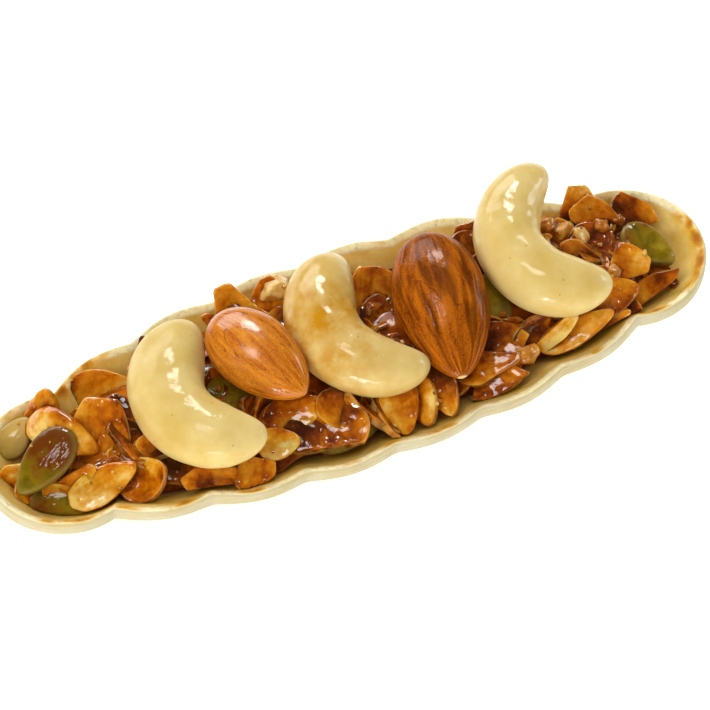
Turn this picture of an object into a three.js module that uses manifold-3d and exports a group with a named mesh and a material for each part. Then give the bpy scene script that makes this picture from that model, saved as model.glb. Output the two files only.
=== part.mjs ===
// A nut boat cookie: a thin scalloped wafer boat heaped with caramel-glazed almond flakes and
// pumpkin seeds, with three cashews and two whole almonds set across the top of the heap.
// Millimetres. +X runs along the boat, +Y across it and +Z up; the origin is under its middle.

import * as THREE from "three";
import { mergeVertices } from "three/addons/utils/BufferGeometryUtils.js";
import Module from "manifold-3d";

const wasm = await Module();
wasm.setup();

// Plan of the wafer boat
const BOAT_LENGTH = 106;
const END_RADIUS = 11;
const LOBE_PITCH = 13;
const SIDE_LOBES = 6;
const NOTCH_HALF_WIDTH = 16.3;
const SCALLOP_DEPTH = 1.3;
const NOTCH_ROUNDING = 0.12;
const SPINE_SHARE = 0.85;

// Section of the wafer boat, from the rim inwards and downwards
const RIM_HEIGHT = 10.2;
const RIM_WIDTH = 0.9;
const RIM_DROP = 0.5;
const RIM_EDGE = 0.3;
const LIP_HEIGHT = 2.4;
const LIP_STEP = 0.9;
const WALL_RUN = 8.9;
const INNER_RUN = 10.2;
const HULL_CURVE = 1.1;
const HULL_SHARES = [0, 0.3, 0.6, 0.85, 1];
const FLOOR = 1.5;
const FLOOR_FLUTE = 0.3;

// Heap of flakes and seeds; lifts are measured from the rim
const GAP = 0.35;
const CORE_GAP = 0.5;
const EDGE_LIFT = -4.2;
const EDGE_LEAN = 0.8;
const CROWN_LIFT = 0.8;
const LEFT_DROP = 2.6;
const RIGHT_DROP = 1.4;
const END_RUN = 9;
const HEAP_LUMP = 0.3;
const LUMP_WAVES = [
  [0.9, 0.5],
  [0.6, -0.8],
];
const CORE_WALL_SHARES = [0, 0.5, 1];
const CORE_CROWN_SHARES = [0.12, 0.34, 0.65];
const CROWN_POWER = 3;
const CROWN_END_POWER = 6;
const FLAKE_THICKNESS = 1.2;
const FLAKE_CUP = 0.4;
const THIN_EDGE = 0.8;
const ROUND_EDGE = 0.32;
const ROUND_FROM = 1.5;
const BREAKS = 2;
const BREAK_REACH = [0.42, 0.88];
const BREAK_SHARE = 0.414214;
const SEED_THICKNESS = 1;
const SEED_DOME = 0.75;
const OUTLINE_SIDES = 7;
const OUTLINE_TAPER = 0.3;
const BEND_LEVEL = 0.4;
const BIT_SHAPE = [1, 0.8, 0.7];
const BIT_TILT = [15, 10];
const FILLER_FLAKES = 18;
const FAR_FLAKES = 10;
const FAR_FROM = 0.35;
const FILLER_SEED = 11;
const DRAW_FACTOR = 16807;
const DRAW_LIMIT = 2147483647;
const FILLER_REACH = 40;
const FILLER_SPREAD = 0.85;
const FILLER_LIFT = 0.2;
const FILLER_TIP = 18;
const FILLER_ROLL = 20;
const FILLER_LENGTHS = [7, 10];
const FILLER_WIDTHS = [3.8, 5.6];
const GOLDEN_SHARE = 0.618034;

// Sampling of the round forms, and how near vertices are joined
const SHELL_STEPS = 5;
const SHELL_END_STEPS = 8;
const CORE_STEPS = 3;
const CORE_END_STEPS = 4;
const NUT_AROUND = 14;
const NUT_ALONG = 16;
const WELD_REACH = 0.001;

// How the whole nuts taper: powers of the share of the length that is left to each end
const CASHEW_POWER = 2.6;
const ALMOND_BUTT_POWER = 0.5;
const ALMOND_TIP_POWER = 0.66;

// Whole nuts: sizes in their own frames, place of the centre (the last value is its lift over the
// rim), and heading, pitch and roll in degrees
const CASHEWS = [
  {
    name: "cashew_left",
    bend: 9.4,
    sweep: 174,
    width: 10.8,
    thickness: 9.4,
    taper: 0.08,
    place: [-26.3, -2.1, 4.7],
    turn: [-85, 0, 8],
  },
  {
    name: "cashew_middle",
    bend: 9.6,
    sweep: 172,
    width: 10.2,
    thickness: 9.6,
    taper: 0.14,
    place: [-2.3, -0.7, 4.9],
    turn: [-78, -4, 0],
  },
  {
    name: "cashew_right",
    bend: 9.2,
    sweep: 188,
    width: 9.8,
    thickness: 9.4,
    taper: -0.03,
    place: [26, 1.9, 5.8],
    turn: [-87, -6, 7],
  },
];
const ALMONDS = [
  {
    name: "almond_small",
    length: 16.8,
    width: 10.8,
    thickness: 7.8,
    place: [-12.8, 0.3, 6.3],
    turn: [-65, -8, 8],
  },
  {
    name: "almond_large",
    length: 22,
    width: 12.9,
    thickness: 8.4,
    place: [13.6, -1.5, 5.2],
    turn: [-100, -12, 4],
  },
];

const NOTCH_X = (LOBE_PITCH * SIDE_LOBES) / 2;
const END_CENTRE = BOAT_LENGTH / 2 - END_RADIUS;
const END_NOTCH_Y = Math.sqrt(END_RADIUS ** 2 - (END_CENTRE - NOTCH_X) ** 2);
const NOTCH_ELLIPSE = NOTCH_X / Math.sqrt(1 - (END_NOTCH_Y / NOTCH_HALF_WIDTH) ** 2);

const degrees = THREE.MathUtils.degToRad;
const clamp = THREE.MathUtils.clamp;
const lerp = THREE.MathUtils.lerp;

// Join equal vertices, drop faces without area and make the surface face outwards.
function weld(geometry) {
  geometry.deleteAttribute("normal");
  geometry.deleteAttribute("uv");
  const merged = mergeVertices(geometry, WELD_REACH);
  const corners = merged.index.array;
  const spots = merged.attributes.position;
  const kept = [];
  let volume = 0;
  const [a, b, c] = [0, 1, 2].map(() => new THREE.Vector3());
  for (let i = 0; i < corners.length; i += 3) {
    const face = [corners[i], corners[i + 1], corners[i + 2]];
    if (new Set(face).size === 3) {
      kept.push(...face);
      a.fromBufferAttribute(spots, face[0]);
      b.fromBufferAttribute(spots, face[1]);
      c.fromBufferAttribute(spots, face[2]);
      volume += a.dot(b.cross(c));
    }
  }
  merged.setIndex(volume < 0 ? kept.reverse() : kept);
  return merged;
}

function toSolid(geometry) {
  return new wasm.Manifold(
    new wasm.Mesh({
      numProp: 3,
      vertProperties: new Float32Array(geometry.attributes.position.array),
      triVerts: new Uint32Array(geometry.index.array),
    }),
  );
}

function toGeometry(solid) {
  const mesh = solid.getMesh();
  const geometry = new THREE.BufferGeometry();
  geometry.setAttribute("position", new THREE.BufferAttribute(mesh.vertProperties.slice(), 3));
  geometry.setIndex(new THREE.BufferAttribute(mesh.triVerts.slice(), 1));
  return geometry;
}

// Join what all but touches, then keep the largest body: scraps are dropped and hollows filled.
function largestBody(solid) {
  const bodies = toSolid(weld(toGeometry(solid))).decompose();
  return toGeometry(bodies.sort((a, b) => b.volume() - a.volume())[0]);
}

// Move every vertex of a geometry by a function of its place.
function deform(geometry, move) {
  const spots = geometry.attributes.position;
  const spot = new THREE.Vector3();
  for (let i = 0; i < spots.count; i++) {
    spot.fromBufferAttribute(spots, i);
    const moved = move(spot, i);
    spots.setXYZ(i, moved.x, moved.y, moved.z);
  }
  return geometry;
}

// Turns: heading about Z, then the tip lifted by the pitch, then a roll about the length.
function setDown(geometry, place, turn) {
  const [heading, pitch, roll] = turn.map(degrees);
  const matrix = new THREE.Matrix4().makeRotationFromEuler(new THREE.Euler(roll, -pitch, heading, "ZYX"));
  matrix.setPosition(place[0], place[1], RIM_HEIGHT + place[2]);
  return geometry.applyMatrix4(matrix);
}

// One station of the boat's outline, with the direction in which the outline is set in or out.
function station(x, y, bump) {
  const spine = clamp(SPINE_SHARE * x, -END_CENTRE, END_CENTRE);
  const reach = Math.hypot(x - spine, y);
  return { x, y, bump, spine, outX: (x - spine) / reach, outY: y / reach };
}

// Stations around the boat: round end lobes, and scallops between notches on an ellipse.
function boatStations(stepsPerLobe, stepsPerEnd) {
  const half = [];
  const notchAngle = Math.acos((NOTCH_X - END_CENTRE) / END_RADIUS);
  for (let i = 0; i < stepsPerEnd; i++) {
    const angle = (notchAngle * i) / stepsPerEnd;
    half.push(station(END_CENTRE + END_RADIUS * Math.cos(angle), END_RADIUS * Math.sin(angle), 0));
  }
  for (let i = 0; i <= SIDE_LOBES * stepsPerLobe; i++) {
    const x = NOTCH_X - (LOBE_PITCH * i) / stepsPerLobe;
    const wave = Math.sin((Math.PI * i) / stepsPerLobe);
    const bump = SCALLOP_DEPTH * (Math.hypot(wave, NOTCH_ROUNDING) - NOTCH_ROUNDING);
    half.push(station(x, notchHalfWidth(x), bump));
  }
  for (let i = stepsPerEnd - 1; i >= 0; i--) {
    half.push(station(-half[i].x, half[i].y, 0));
  }
  const mirrored = half.slice(1, -1).reverse().map((one) => station(one.x, -one.y, one.bump));
  return [...half, ...mirrored];
}

// How much of the scallop is left at a height: the flutes fade towards the floor.
function fluteAt(z) {
  return lerp(FLOOR_FLUTE, 1, clamp(z / RIM_HEIGHT, 0, 1));
}

function outlinePoint(one, inset, z) {
  const out = one.bump * fluteAt(z) - inset;
  return new THREE.Vector3(one.x + one.outX * out, one.y + one.outY * out, z);
}

// Half section of the wafer from its foot over the rim to its floor, as inset and height.
function waferSection() {
  const lipFoot = RIM_HEIGHT - LIP_HEIGHT;
  const innerTop = RIM_HEIGHT - RIM_DROP;
  const hull = (share, top, foot) => foot + (top - foot) * (1 - share) ** HULL_CURVE;
  const outside = HULL_SHARES.map((share) => [
    lerp(LIP_STEP, WALL_RUN, share),
    hull(share, lipFoot - LIP_STEP, 0),
  ]);
  const rim = [
    [0, lipFoot],
    [0, RIM_HEIGHT - RIM_EDGE],
    [RIM_EDGE, RIM_HEIGHT],
    [RIM_WIDTH, innerTop],
  ];
  const inside = HULL_SHARES.map((share) => [
    lerp(RIM_WIDTH + LIP_STEP, INNER_RUN, share),
    hull(share, innerTop - LIP_STEP, FLOOR),
  ]);
  return [...outside.reverse(), ...rim, ...inside].map(([inset, z]) => new THREE.Vector2(inset, z));
}

// Grow a section by moving each corner out along the two sides that meet there.
function grownSection(section, grow) {
  const sides = section.slice(1).map((point, i) => {
    const run = point.clone().sub(section[i]).normalize();
    return new THREE.Vector2(-run.y, run.x);
  });
  return section.map((point, i) => {
    const before = sides[Math.max(i - 1, 0)];
    const after = sides[Math.min(i, sides.length - 1)];
    const push = before.clone().add(after).multiplyScalar(grow / (1 + before.dot(after)));
    return point.clone().add(push);
  });
}

// A closed body from rings of stations: a lathe whose rings are set out along the boat's outline
// and whose axis is drawn out into the spine.
function ringBody(stations, ringCount, ringPoint, spineHeights) {
  const profile = [new THREE.Vector2(0, 0)];
  for (let ring = 0; ring < ringCount; ring++) {
    profile.push(new THREE.Vector2(1, ring));
  }
  profile.push(new THREE.Vector2(0, ringCount));
  const lathe = new THREE.LatheGeometry(profile, stations.length);
  const perStation = profile.length;
  deform(lathe, (spot, i) => {
    const one = stations[Math.floor(i / perStation) % stations.length];
    const ring = (i % perStation) - 1;
    if (ring < 0) return new THREE.Vector3(one.spine, 0, spineHeights(one)[0]);
    if (ring === ringCount) return new THREE.Vector3(one.spine, 0, spineHeights(one)[1]);
    return ringPoint(one, ring);
  });
  return weld(lathe);
}

function waferShell(grow) {
  const section = grownSection(waferSection(), grow);
  const heights = [section[0].y, section[section.length - 1].y];
  return ringBody(
    boatStations(SHELL_STEPS, SHELL_END_STEPS),
    section.length,
    (one, ring) => outlinePoint(one, section[ring].x, section[ring].y),
    () => heights,
  );
}

// Inset of the free space inside the wafer at a height, with the gap kept.
const innerWall = grownSection(waferSection(), CORE_GAP).slice(-HULL_SHARES.length - 1);

function innerInset(z) {
  for (let i = 1; i < innerWall.length; i++) {
    if (z >= innerWall[i].y) {
      const share = clamp((innerWall[i - 1].y - z) / (innerWall[i - 1].y - innerWall[i].y), 0, 1);
      return lerp(innerWall[i - 1].x, innerWall[i].x, share);
    }
  }
  return innerWall[innerWall.length - 1].x;
}

function notchHalfWidth(x) {
  return NOTCH_HALF_WIDTH * Math.sqrt(1 - (x / NOTCH_ELLIPSE) ** 2);
}

// How far the heap drops at either end, and its height where it meets the wall, along its crown,
// and in between at a share of the way from the wall to the spine.
function endDrop(x) {
  return x < 0 ? LEFT_DROP : RIGHT_DROP;
}

function heapEdge(x, outY) {
  const toEnd = clamp((Math.abs(x) - (BOAT_LENGTH / 2 - END_RUN)) / END_RUN, 0, 1);
  return RIM_HEIGHT + EDGE_LIFT + EDGE_LEAN * outY - endDrop(x) * toEnd;
}

function heapCrown(x) {
  return RIM_HEIGHT + CROWN_LIFT - endDrop(x) * Math.abs(x / END_CENTRE) ** CROWN_END_POWER;
}

function heapHeight(edge, crown, share) {
  return lerp(edge, crown, Math.sqrt(1 - (1 - share) ** CROWN_POWER));
}

function heapLump(x, y) {
  const [first, second] = LUMP_WAVES.map(([alongX, alongY]) => alongX * x + alongY * y);
  return HEAP_LUMP * Math.sin(first) * Math.cos(second);
}

// Core of the heap: it follows the inside of the wafer with a gap and rises to the crown.
function heapCore() {
  const foot = FLOOR + CORE_GAP;
  const wallPoint = (one, share) => {
    const z = lerp(foot, heapEdge(one.x, one.outY), share);
    return outlinePoint(one, innerInset(z), z);
  };
  return ringBody(
    boatStations(CORE_STEPS, CORE_END_STEPS),
    CORE_WALL_SHARES.length + CORE_CROWN_SHARES.length,
    (one, ring) => {
      if (ring < CORE_WALL_SHARES.length) return wallPoint(one, CORE_WALL_SHARES[ring]);
      const share = CORE_CROWN_SHARES[ring - CORE_WALL_SHARES.length];
      const spot = wallPoint(one, 1).lerp(new THREE.Vector3(one.spine, 0, 0), share);
      const top = heapHeight(heapEdge(one.x, one.outY), heapCrown(one.spine), share);
      spot.z = top + heapLump(spot.x, spot.y);
      return spot;
    },
    (one) => [foot, heapCrown(one.spine) + heapLump(one.spine, 0)],
  );
}

// Move a point of an outline back to the straight lines along which the slice is broken.
function breakOff(point, number, breaks) {
  for (let turn = number * BREAKS; turn < number * BREAKS + breaks; turn++) {
    const angle = 2 * Math.PI * ((turn * GOLDEN_SHARE) % 1);
    const way = new THREE.Vector2(Math.cos(angle), Math.sin(angle));
    const reach = lerp(...BREAK_REACH, (turn * BREAK_SHARE) % 1);
    point.addScaledVector(way, -Math.max(point.dot(way) - reach, 0));
  }
  return point;
}

// A flat piece with a pointed outline: half its thickness at the edge and in the middle, how far
// its ends and sides bend up, where its tip is cut off, and how often it is broken.
function flatPiece({ length, width, edge, middle, bend = 0, cup = 0, cut = 1, number = 0, breaks = 0 }) {
  const profile = [
    new THREE.Vector2(0, -middle),
    new THREE.Vector2(1, -edge),
    new THREE.Vector2(1, edge),
    new THREE.Vector2(0, middle),
  ];
  const lathe = new THREE.LatheGeometry(profile, OUTLINE_SIDES);
  deform(lathe, (spot) => {
    const point = breakOff(new THREE.Vector2(spot.x, spot.z), number, breaks);
    const along = Math.min(point.x, cut);
    const across = point.y * (1 - OUTLINE_TAPER * point.x);
    const lift = bend * (along ** 2 - BEND_LEVEL) + cup * (across ** 2 - BEND_LEVEL);
    return new THREE.Vector3((length / 2) * along, (width / 2) * across, spot.y + lift);
  });
  return weld(lathe);
}

// An almond slice: thin ones keep most of their thickness at the edge, thick ones are rounded.
function flake([length, width, thickness], bend, cut, breaks, number) {
  const middle = thickness / 2;
  const edge = middle * lerp(THIN_EDGE, ROUND_EDGE, clamp(thickness - ROUND_FROM, 0, 1));
  return flatPiece({ length, width, edge, middle, bend, cup: FLAKE_CUP, cut, number, breaks });
}

function nutBit(size) {
  const bit = new THREE.IcosahedronGeometry(size / 2, 0);
  deform(bit, (spot) => spot.multiply(new THREE.Vector3(...BIT_SHAPE)));
  return weld(bit);
}

// Pieces that show in the heap: place, size along, across and through, and heading, pitch and roll.
const slice = (place, size, turn, { bend = 0.6, cut = 1, breaks = BREAKS } = {}) => ({
  place,
  turn,
  form: (number) => flake(size, bend, cut, breaks, number),
});
const seed = (place, length, width, turn) => ({
  place,
  turn,
  form: () =>
    flatPiece({ length, width, edge: SEED_THICKNESS / 2, middle: SEED_THICKNESS / 2 + SEED_DOME }),
});
const bit = (place, size, heading) => ({
  place,
  turn: [heading, ...BIT_TILT],
  form: () => nutBit(size),
});

const PUMPKIN_SEEDS = [
  seed([-44.8, -0.7, 1.5], 11, 6, [-155, -20, -5]),
  seed([-46.2, 6.6, -1.4], 6.6, 4.4, [25, 20, 15]),
  seed([-43.5, -5.3, -3], 10.5, 5.8, [-15, 5, 30]),
  seed([-17.8, 0.6, 0.4], 11, 6.2, [-46, -8, 8]),
  seed([-4.4, -10.6, -2.2], 10.5, 6, [8, 0, -26]),
  seed([21.2, -0.8, 0.9], 8.5, 5, [-70, -25, 5]),
  seed([45.2, -0.4, 0.2], 8.5, 4.8, [-55, -15, 5]),
];
const SHOWN_SLICES = [
  slice([-42, 7.2, 0.2], [8.5, 5, 2.8], [45, 50, -5], { bend: 1.5, breaks: 0 }),
  slice([-41, 2.6, 1.5], [11, 5.4, 2.4], [-53, 0, 25], { bend: -2, breaks: 0 }),
  slice([-36.2, 0.8, 1], [14, 8.4, 1.3], [60, 38, 5], { bend: 0.6, cut: 0.7, breaks: 0 }),
  slice([-32.5, 8.8, -1.8], [10, 6.6, 1.2], [-20, 5, 40]),
  slice([-38.5, -5.8, -0.8], [10.5, 4.8, 1.6], [5, 15, 25], { bend: 0.4, breaks: 0 }),
  slice([-33, -7.2, -0.8], [7.5, 6.2, 1.4], [-20, 30, 20], { bend: 1.6, breaks: 0 }),
  slice([-41.5, -3.8, 0], [6, 3.4, 1.1], [-5, 25, 45]),
  slice([-45.2, -3.8, -1.5], [6, 3, 1.1], [-20, 5, 50]),
  slice([-48, 1.4, -2.2], [5.5, 4, 1.2], [10, 30, 40]),
  slice([-46.6, -2, -3.2], [6.5, 5, 1.2], [-50, -15, 10]),
  slice([-33.6, -1.6, -0.6], [6, 4.4, 1.1], [35, 20, 35]),
  slice([-31.2, -1.8, -0.3], [7.5, 5.4, 1.2], [-85, -20, 10]),
  slice([-30, -5, -0.4], [7.5, 5.6, 1.2], [-50, -20, 15]),
  slice([-28, -8.3, -1.5], [7.5, 5.4, 1.2], [-85, -15, 10]),
  slice([-25.5, 9.6, -0.9], [9, 5, 1.2], [75, 40, 0]),
  slice([-24.6, -11, -0.5], [9, 4.6, 1.5], [-25, 0, 30], { bend: 0.8, cut: 0.7 }),
  slice([-18.8, -12.4, -0.5], [7.5, 5.4, 1.3], [45, 25, 20], { bend: 1 }),
  slice([-14, -11, -1.6], [7, 4, 1.2], [-20, 5, 45]),
  slice([-10.5, 12.2, 0.4], [9, 8, 1.4], [-15, 5, 40], { bend: 1.6 }),
  slice([-6.4, 11, 0], [9.5, 6.5, 1.3], [75, 38, 0]),
  slice([7.6, 6.6, 1.1], [13, 8.6, 1.4], [65, 42, 5], { bend: 0.6, cut: 0.6 }),
  slice([7, 3, 0.2], [7.5, 5.4, 1.2], [-65, -10, 10]),
  slice([-16, -3.5, 0.5], [6.5, 4, 1.1], [45, 5, 50]),
  slice([-14.4, -4.2, 0.5], [6.5, 4, 1.1], [50, 15, 45]),
  slice([-11, -7, 0.9], [9, 5.4, 1.6], [0, 10, 20], { bend: 0.8, breaks: 0 }),
  slice([-14.5, -9.8, -0.1], [6, 4.4, 1.4], [-15, 5, 30], { breaks: 0 }),
  slice([-8, -11.6, -0.1], [9.5, 11.5, 1.5], [-105, -12, 5], { bend: 0.3, cut: 0.35, breaks: 0 }),
  slice([-5.3, -8.9, 1.3], [6.5, 5.6, 1.3], [-80, -22, 0], { breaks: 0 }),
  slice([-1, -10.2, 0.3], [10, 5.4, 1.3], [-70, -12, -45], { bend: 1.2 }),
  slice([0.6, -11.4, -0.8], [8.5, 5, 1.2], [-80, -14, -50]),
  slice([3, -10.8, 0], [8.5, 5.2, 1.5], [-100, -30, 0], { bend: 0.9, breaks: 0 }),
  slice([6.3, -11, -0.5], [7.5, 4.2, 1.4], [-95, -20, 35], { breaks: 0 }),
  slice([9.4, -10.6, 0.1], [8.5, 4.4, 1.3], [-90, -20, 30], { breaks: 0 }),
  slice([23.6, 10.6, 0.3], [9.5, 5.6, 1.4], [65, 42, 5], { bend: 0.8 }),
  slice([22, 8, 0.2], [7.5, 5.2, 1.2], [-75, -35, 0]),
  slice([22.5, 4, 0.7], [7.5, 4, 1.2], [-50, -30, 40]),
  slice([21.5, -5, 0.5], [7, 4, 1.2], [-30, -5, 45]),
  slice([20.5, -7.3, 0.2], [8, 5.4, 1.2], [-30, 0, 30]),
  slice([16.5, -9.4, 0.3], [9.5, 5.8, 1.3], [-15, 5, 20]),
  slice([17, -11.2, -1], [10.5, 5.2, 1.5], [-10, 10, 25], { bend: 0.8 }),
  slice([27.5, -8.6, 0.3], [7.5, 2.8, 1.3], [5, 30, 45], { bend: 0.3 }),
  slice([30.4, -9, -0.6], [11.5, 3.8, 1.5], [0, 15, 25], { bend: 0.5, breaks: 0 }),
  slice([33.4, -8.8, -1.6], [10.5, 4, 1.1], [-5, 20, 45], { bend: 0.8 }),
  slice([37, -7.8, -2], [8.5, 4, 1.1], [-5, 20, 45], { bend: 0.8 }),
  slice([36.5, -6.4, 0.3], [9, 5.4, 2], [0, 10, 20], { bend: -1, breaks: 0 }),
  slice([41, -3, 0.7], [8, 6.2, 1.3], [-35, -5, 25], { bend: 0.4, cut: 0.7 }),
  slice([42.8, -6, -1.8], [10, 3.6, 1.2], [5, 25, 35], { bend: 1.2 }),
  slice([46, 5.2, -0.2], [8, 5.2, 1.3], [-55, -25, 15]),
  slice([38.3, 9.4, 0.3], [9.5, 7.5, 1.2], [70, 42, 0], { bend: 0.4, cut: 0.7 }),
  slice([40.5, 7.2, 0.9], [7, 4.4, 1.1], [-35, -10, 40]),
  slice([39, 2.5, 0.2], [8.5, 5.8, 1.2], [-40, -5, 10]),
  slice([45.8, -3.4, -2], [7, 5.2, 1.2], [-85, -15, 10]),
  slice([36, 1.4, 0.6], [7.5, 4.4, 1.2], [-30, -5, 40]),
  slice([34.4, 7.8, 0.3], [6, 3, 1.1], [-20, 0, 45]),
  slice([1.2, 12, -0.6], [8, 5, 1.3], [80, 40, 0]),
  slice([-22, -8.6, 0.2], [7, 3.6, 1.1], [-35, 5, 50]),
  slice([-36.4, -4.2, -0.8], [7.5, 3.6, 1.1], [-60, -10, 15]),
  slice([19.2, -3.4, 0.8], [6.5, 3, 1.1], [-40, -10, 50]),
  slice([24.6, -7.2, 0.2], [8, 4, 1.1], [20, 15, 50]),
];
const NUT_BITS = [
  bit([-5, 12.8, 1.5], 5.4, 20),
  bit([22, -10.3, 0.4], 4.2, 10),
  bit([38.6, -3.3, 1.1], 3, 40),
  bit([35.4, 6.2, 0.7], 3.4, 15),
  bit([37.2, 4.6, 0.6], 3.8, 60),
  bit([40.3, 5, 0.5], 3.4, -40),
  bit([43.2, 5.4, 0], 3.2, -70),
  bit([33.6, 7.8, 0.5], 3.8, 30),
  bit([42.6, 1, 0], 3.6, 12),
];

// Slices that fill the heap between the shown ones, spread along it by the golden share;
// the last of them lie on the far side.
function fillerSlices() {
  let state = FILLER_SEED;
  const draw = (low, high) => {
    state = (state * DRAW_FACTOR) % DRAW_LIMIT;
    return lerp(low, high, state / DRAW_LIMIT);
  };
  const found = [];
  for (let i = 0; i < FILLER_FLAKES + FAR_FLAKES; i++) {
    const x = lerp(-FILLER_REACH, FILLER_REACH, ((i + 1) * GOLDEN_SHARE) % 1);
    const side = draw(i < FILLER_FLAKES ? -FILLER_SPREAD : FAR_FROM, FILLER_SPREAD);
    const edge = heapEdge(x, Math.sign(side));
    const y = side * (notchHalfWidth(x) - innerInset(edge));
    const top = heapHeight(edge, heapCrown(x), 1 - Math.abs(side));
    const turn = [draw(0, 360), draw(-FILLER_TIP, FILLER_TIP), draw(-FILLER_ROLL, FILLER_ROLL)];
    const place = [x, y, top - RIM_HEIGHT + FILLER_LIFT];
    const size = [draw(...FILLER_LENGTHS), draw(...FILLER_WIDTHS), FLAKE_THICKNESS];
    found.push(slice(place, size, turn));
  }
  return found;
}

// A cashew bent along an arc that opens towards its own +Y, blunter at its first end.
function cashewForm({ bend, sweep, width, thickness, taper }, grow) {
  const ball = new THREE.SphereGeometry(1, NUT_AROUND, NUT_ALONG);
  const reach = 1 + grow / ((bend * degrees(sweep)) / 2);
  deform(ball, (spot) => {
    const ring = Math.hypot(spot.x, spot.z) || 1;
    const angle = (degrees(sweep) / 2) * spot.y * reach;
    const fullness = Math.sqrt(1 - Math.abs(spot.y) ** CASHEW_POWER) * (1 - taper * spot.y);
    const out = (spot.x / ring) * fullness * (width / 2 + grow);
    const up = (spot.z / ring) * fullness * (thickness / 2 + grow);
    const radius = bend + out;
    return new THREE.Vector3(radius * Math.sin(angle), bend - radius * Math.cos(angle), up);
  });
  return weld(ball);
}

// An almond along its own X: round at the start, drawn to a point at the tip.
function almondForm({ length, width, thickness }, grow) {
  const ball = new THREE.SphereGeometry(1, NUT_AROUND, NUT_ALONG);
  const swell = (y) => (1 + y) ** ALMOND_BUTT_POWER * (1 - y) ** ALMOND_TIP_POWER;
  const widest = (ALMOND_BUTT_POWER - ALMOND_TIP_POWER) / (ALMOND_BUTT_POWER + ALMOND_TIP_POWER);
  deform(ball, (spot) => {
    const ring = Math.hypot(spot.x, spot.z) || 1;
    const fullness = swell(spot.y) / swell(widest);
    const out = (spot.x / ring) * fullness * (width / 2 + grow);
    const up = (spot.z / ring) * fullness * (thickness / 2 + grow);
    return new THREE.Vector3((length / 2 + grow) * spot.y, out, up);
  });
  return weld(ball);
}

// Whole nuts, as built and as grown by the gap that the heap keeps from them
const nuts = [
  ...CASHEWS.map((one) => ({ ...one, form: (grow) => cashewForm(one, grow), colour: 0xe3cf93 })),
  ...ALMONDS.map((one) => ({ ...one, form: (grow) => almondForm(one, grow), colour: 0xa35a22 })),
];
const nutSpace = wasm.Manifold.union(
  nuts.map((one) => toSolid(setDown(one.form(GAP), one.place, one.turn))),
);

// Heap: the core and its pieces joined, and cut back from the wafer and the nuts
const pieces = [...SHOWN_SLICES, ...fillerSlices(), ...PUMPKIN_SEEDS, ...NUT_BITS];
const heap = wasm.Manifold.union([
  toSolid(heapCore()),
  ...pieces.map((one, i) => toSolid(setDown(one.form(i + 1), one.place, one.turn))),
])
  .subtract(nutSpace)
  .subtract(toSolid(waferShell(GAP)));

const group = new THREE.Group();

function addNode(name, geometry, colour, roughness) {
  const mesh = new THREE.Mesh(geometry, new THREE.MeshStandardMaterial({ color: colour, roughness }));
  mesh.name = name;
  group.add(mesh);
}

addNode("wafer_shell", waferShell(0), 0xeadfb6, 0.8);
addNode("nut_filling", largestBody(heap), 0xa8621f, 0.35);
for (const one of nuts) {
  addNode(one.name, setDown(one.form(0), one.place, one.turn), one.colour, 0.3);
}

export default group;
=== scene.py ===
# A nut boat cookie: a thin scalloped wafer boat heaped with caramel-glazed almond flakes and pumpkin
# seeds, with three cashews and two whole almonds set across the top of the heap.
# Sizes are in millimetres until a mesh is made. +X runs along the boat, +Y across it and +Z up.

import math

import bpy
import numpy as np
from mathutils import Euler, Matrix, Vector, noise
from mathutils.bvhtree import BVHTree


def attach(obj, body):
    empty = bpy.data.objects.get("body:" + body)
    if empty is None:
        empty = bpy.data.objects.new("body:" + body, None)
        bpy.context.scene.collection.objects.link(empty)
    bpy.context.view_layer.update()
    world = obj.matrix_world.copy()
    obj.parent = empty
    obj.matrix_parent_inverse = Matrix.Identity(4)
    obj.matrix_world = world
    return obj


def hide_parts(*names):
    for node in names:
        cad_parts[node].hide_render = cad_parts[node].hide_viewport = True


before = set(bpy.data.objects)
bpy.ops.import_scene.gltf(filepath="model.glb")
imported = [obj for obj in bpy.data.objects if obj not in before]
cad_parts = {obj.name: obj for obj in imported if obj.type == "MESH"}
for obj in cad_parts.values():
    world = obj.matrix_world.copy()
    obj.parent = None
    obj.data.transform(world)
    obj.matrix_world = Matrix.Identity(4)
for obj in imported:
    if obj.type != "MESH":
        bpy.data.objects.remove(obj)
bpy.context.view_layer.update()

MM = 0.001

# Plan of the wafer boat
BOAT_LENGTH = 106
END_RADIUS = 11
LOBE_PITCH = 13
SIDE_LOBES = 6
NOTCH_HALF_WIDTH = 16.3
SCALLOP_DEPTH = 1.3
NOTCH_ROUNDING = 0.12
SPINE_SHARE = 0.85

# Section of the wafer boat, from the rim inwards and downwards
RIM_HEIGHT = 10.2
RIM_WIDTH = 0.9
RIM_DROP = 0.5
RIM_EDGE = 0.3
LIP_HEIGHT = 2.4
LIP_STEP = 0.9
WALL_RUN = 8.9
INNER_RUN = 10.2
HULL_CURVE = 1.1
HULL_STEPS = 16
FLOOR = 1.5
FLOOR_FLUTE = 0.3
SECTION_STEPS = 150
SECTION_SMOOTHING = 2
SHELL_LOBE_STEPS = 30
SHELL_END_STEPS = 44

# Bands of the wafer: how far below the rim its crest begins and is whole, how far in from the outer edge
# the lip begins to fade and the toast is whole, and how wide the blend to the inner wall is
CREST_FROM = 2.2
CREST_WHOLE = 0.3
LIP_FADE = 0.05
TOAST_WHOLE = 0.5
WALL_BLEND = 0.4

# Unevenness of the wafer: how far it wanders and over what distance
OUTLINE_WANDER = 0.18
OUTLINE_LUMP = 9
CREST_WANDER = 0.14
CREST_LUMP = 5
CRUMBLE = 0.12
CRUMBLE_LEVEL = 0.4
CRUMBLE_RISE = 0.1
CRUMBLE_LUMP = 0.6
GROOVE_DEPTH = 0.08
GROOVE_SPACING = 0.75

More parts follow.
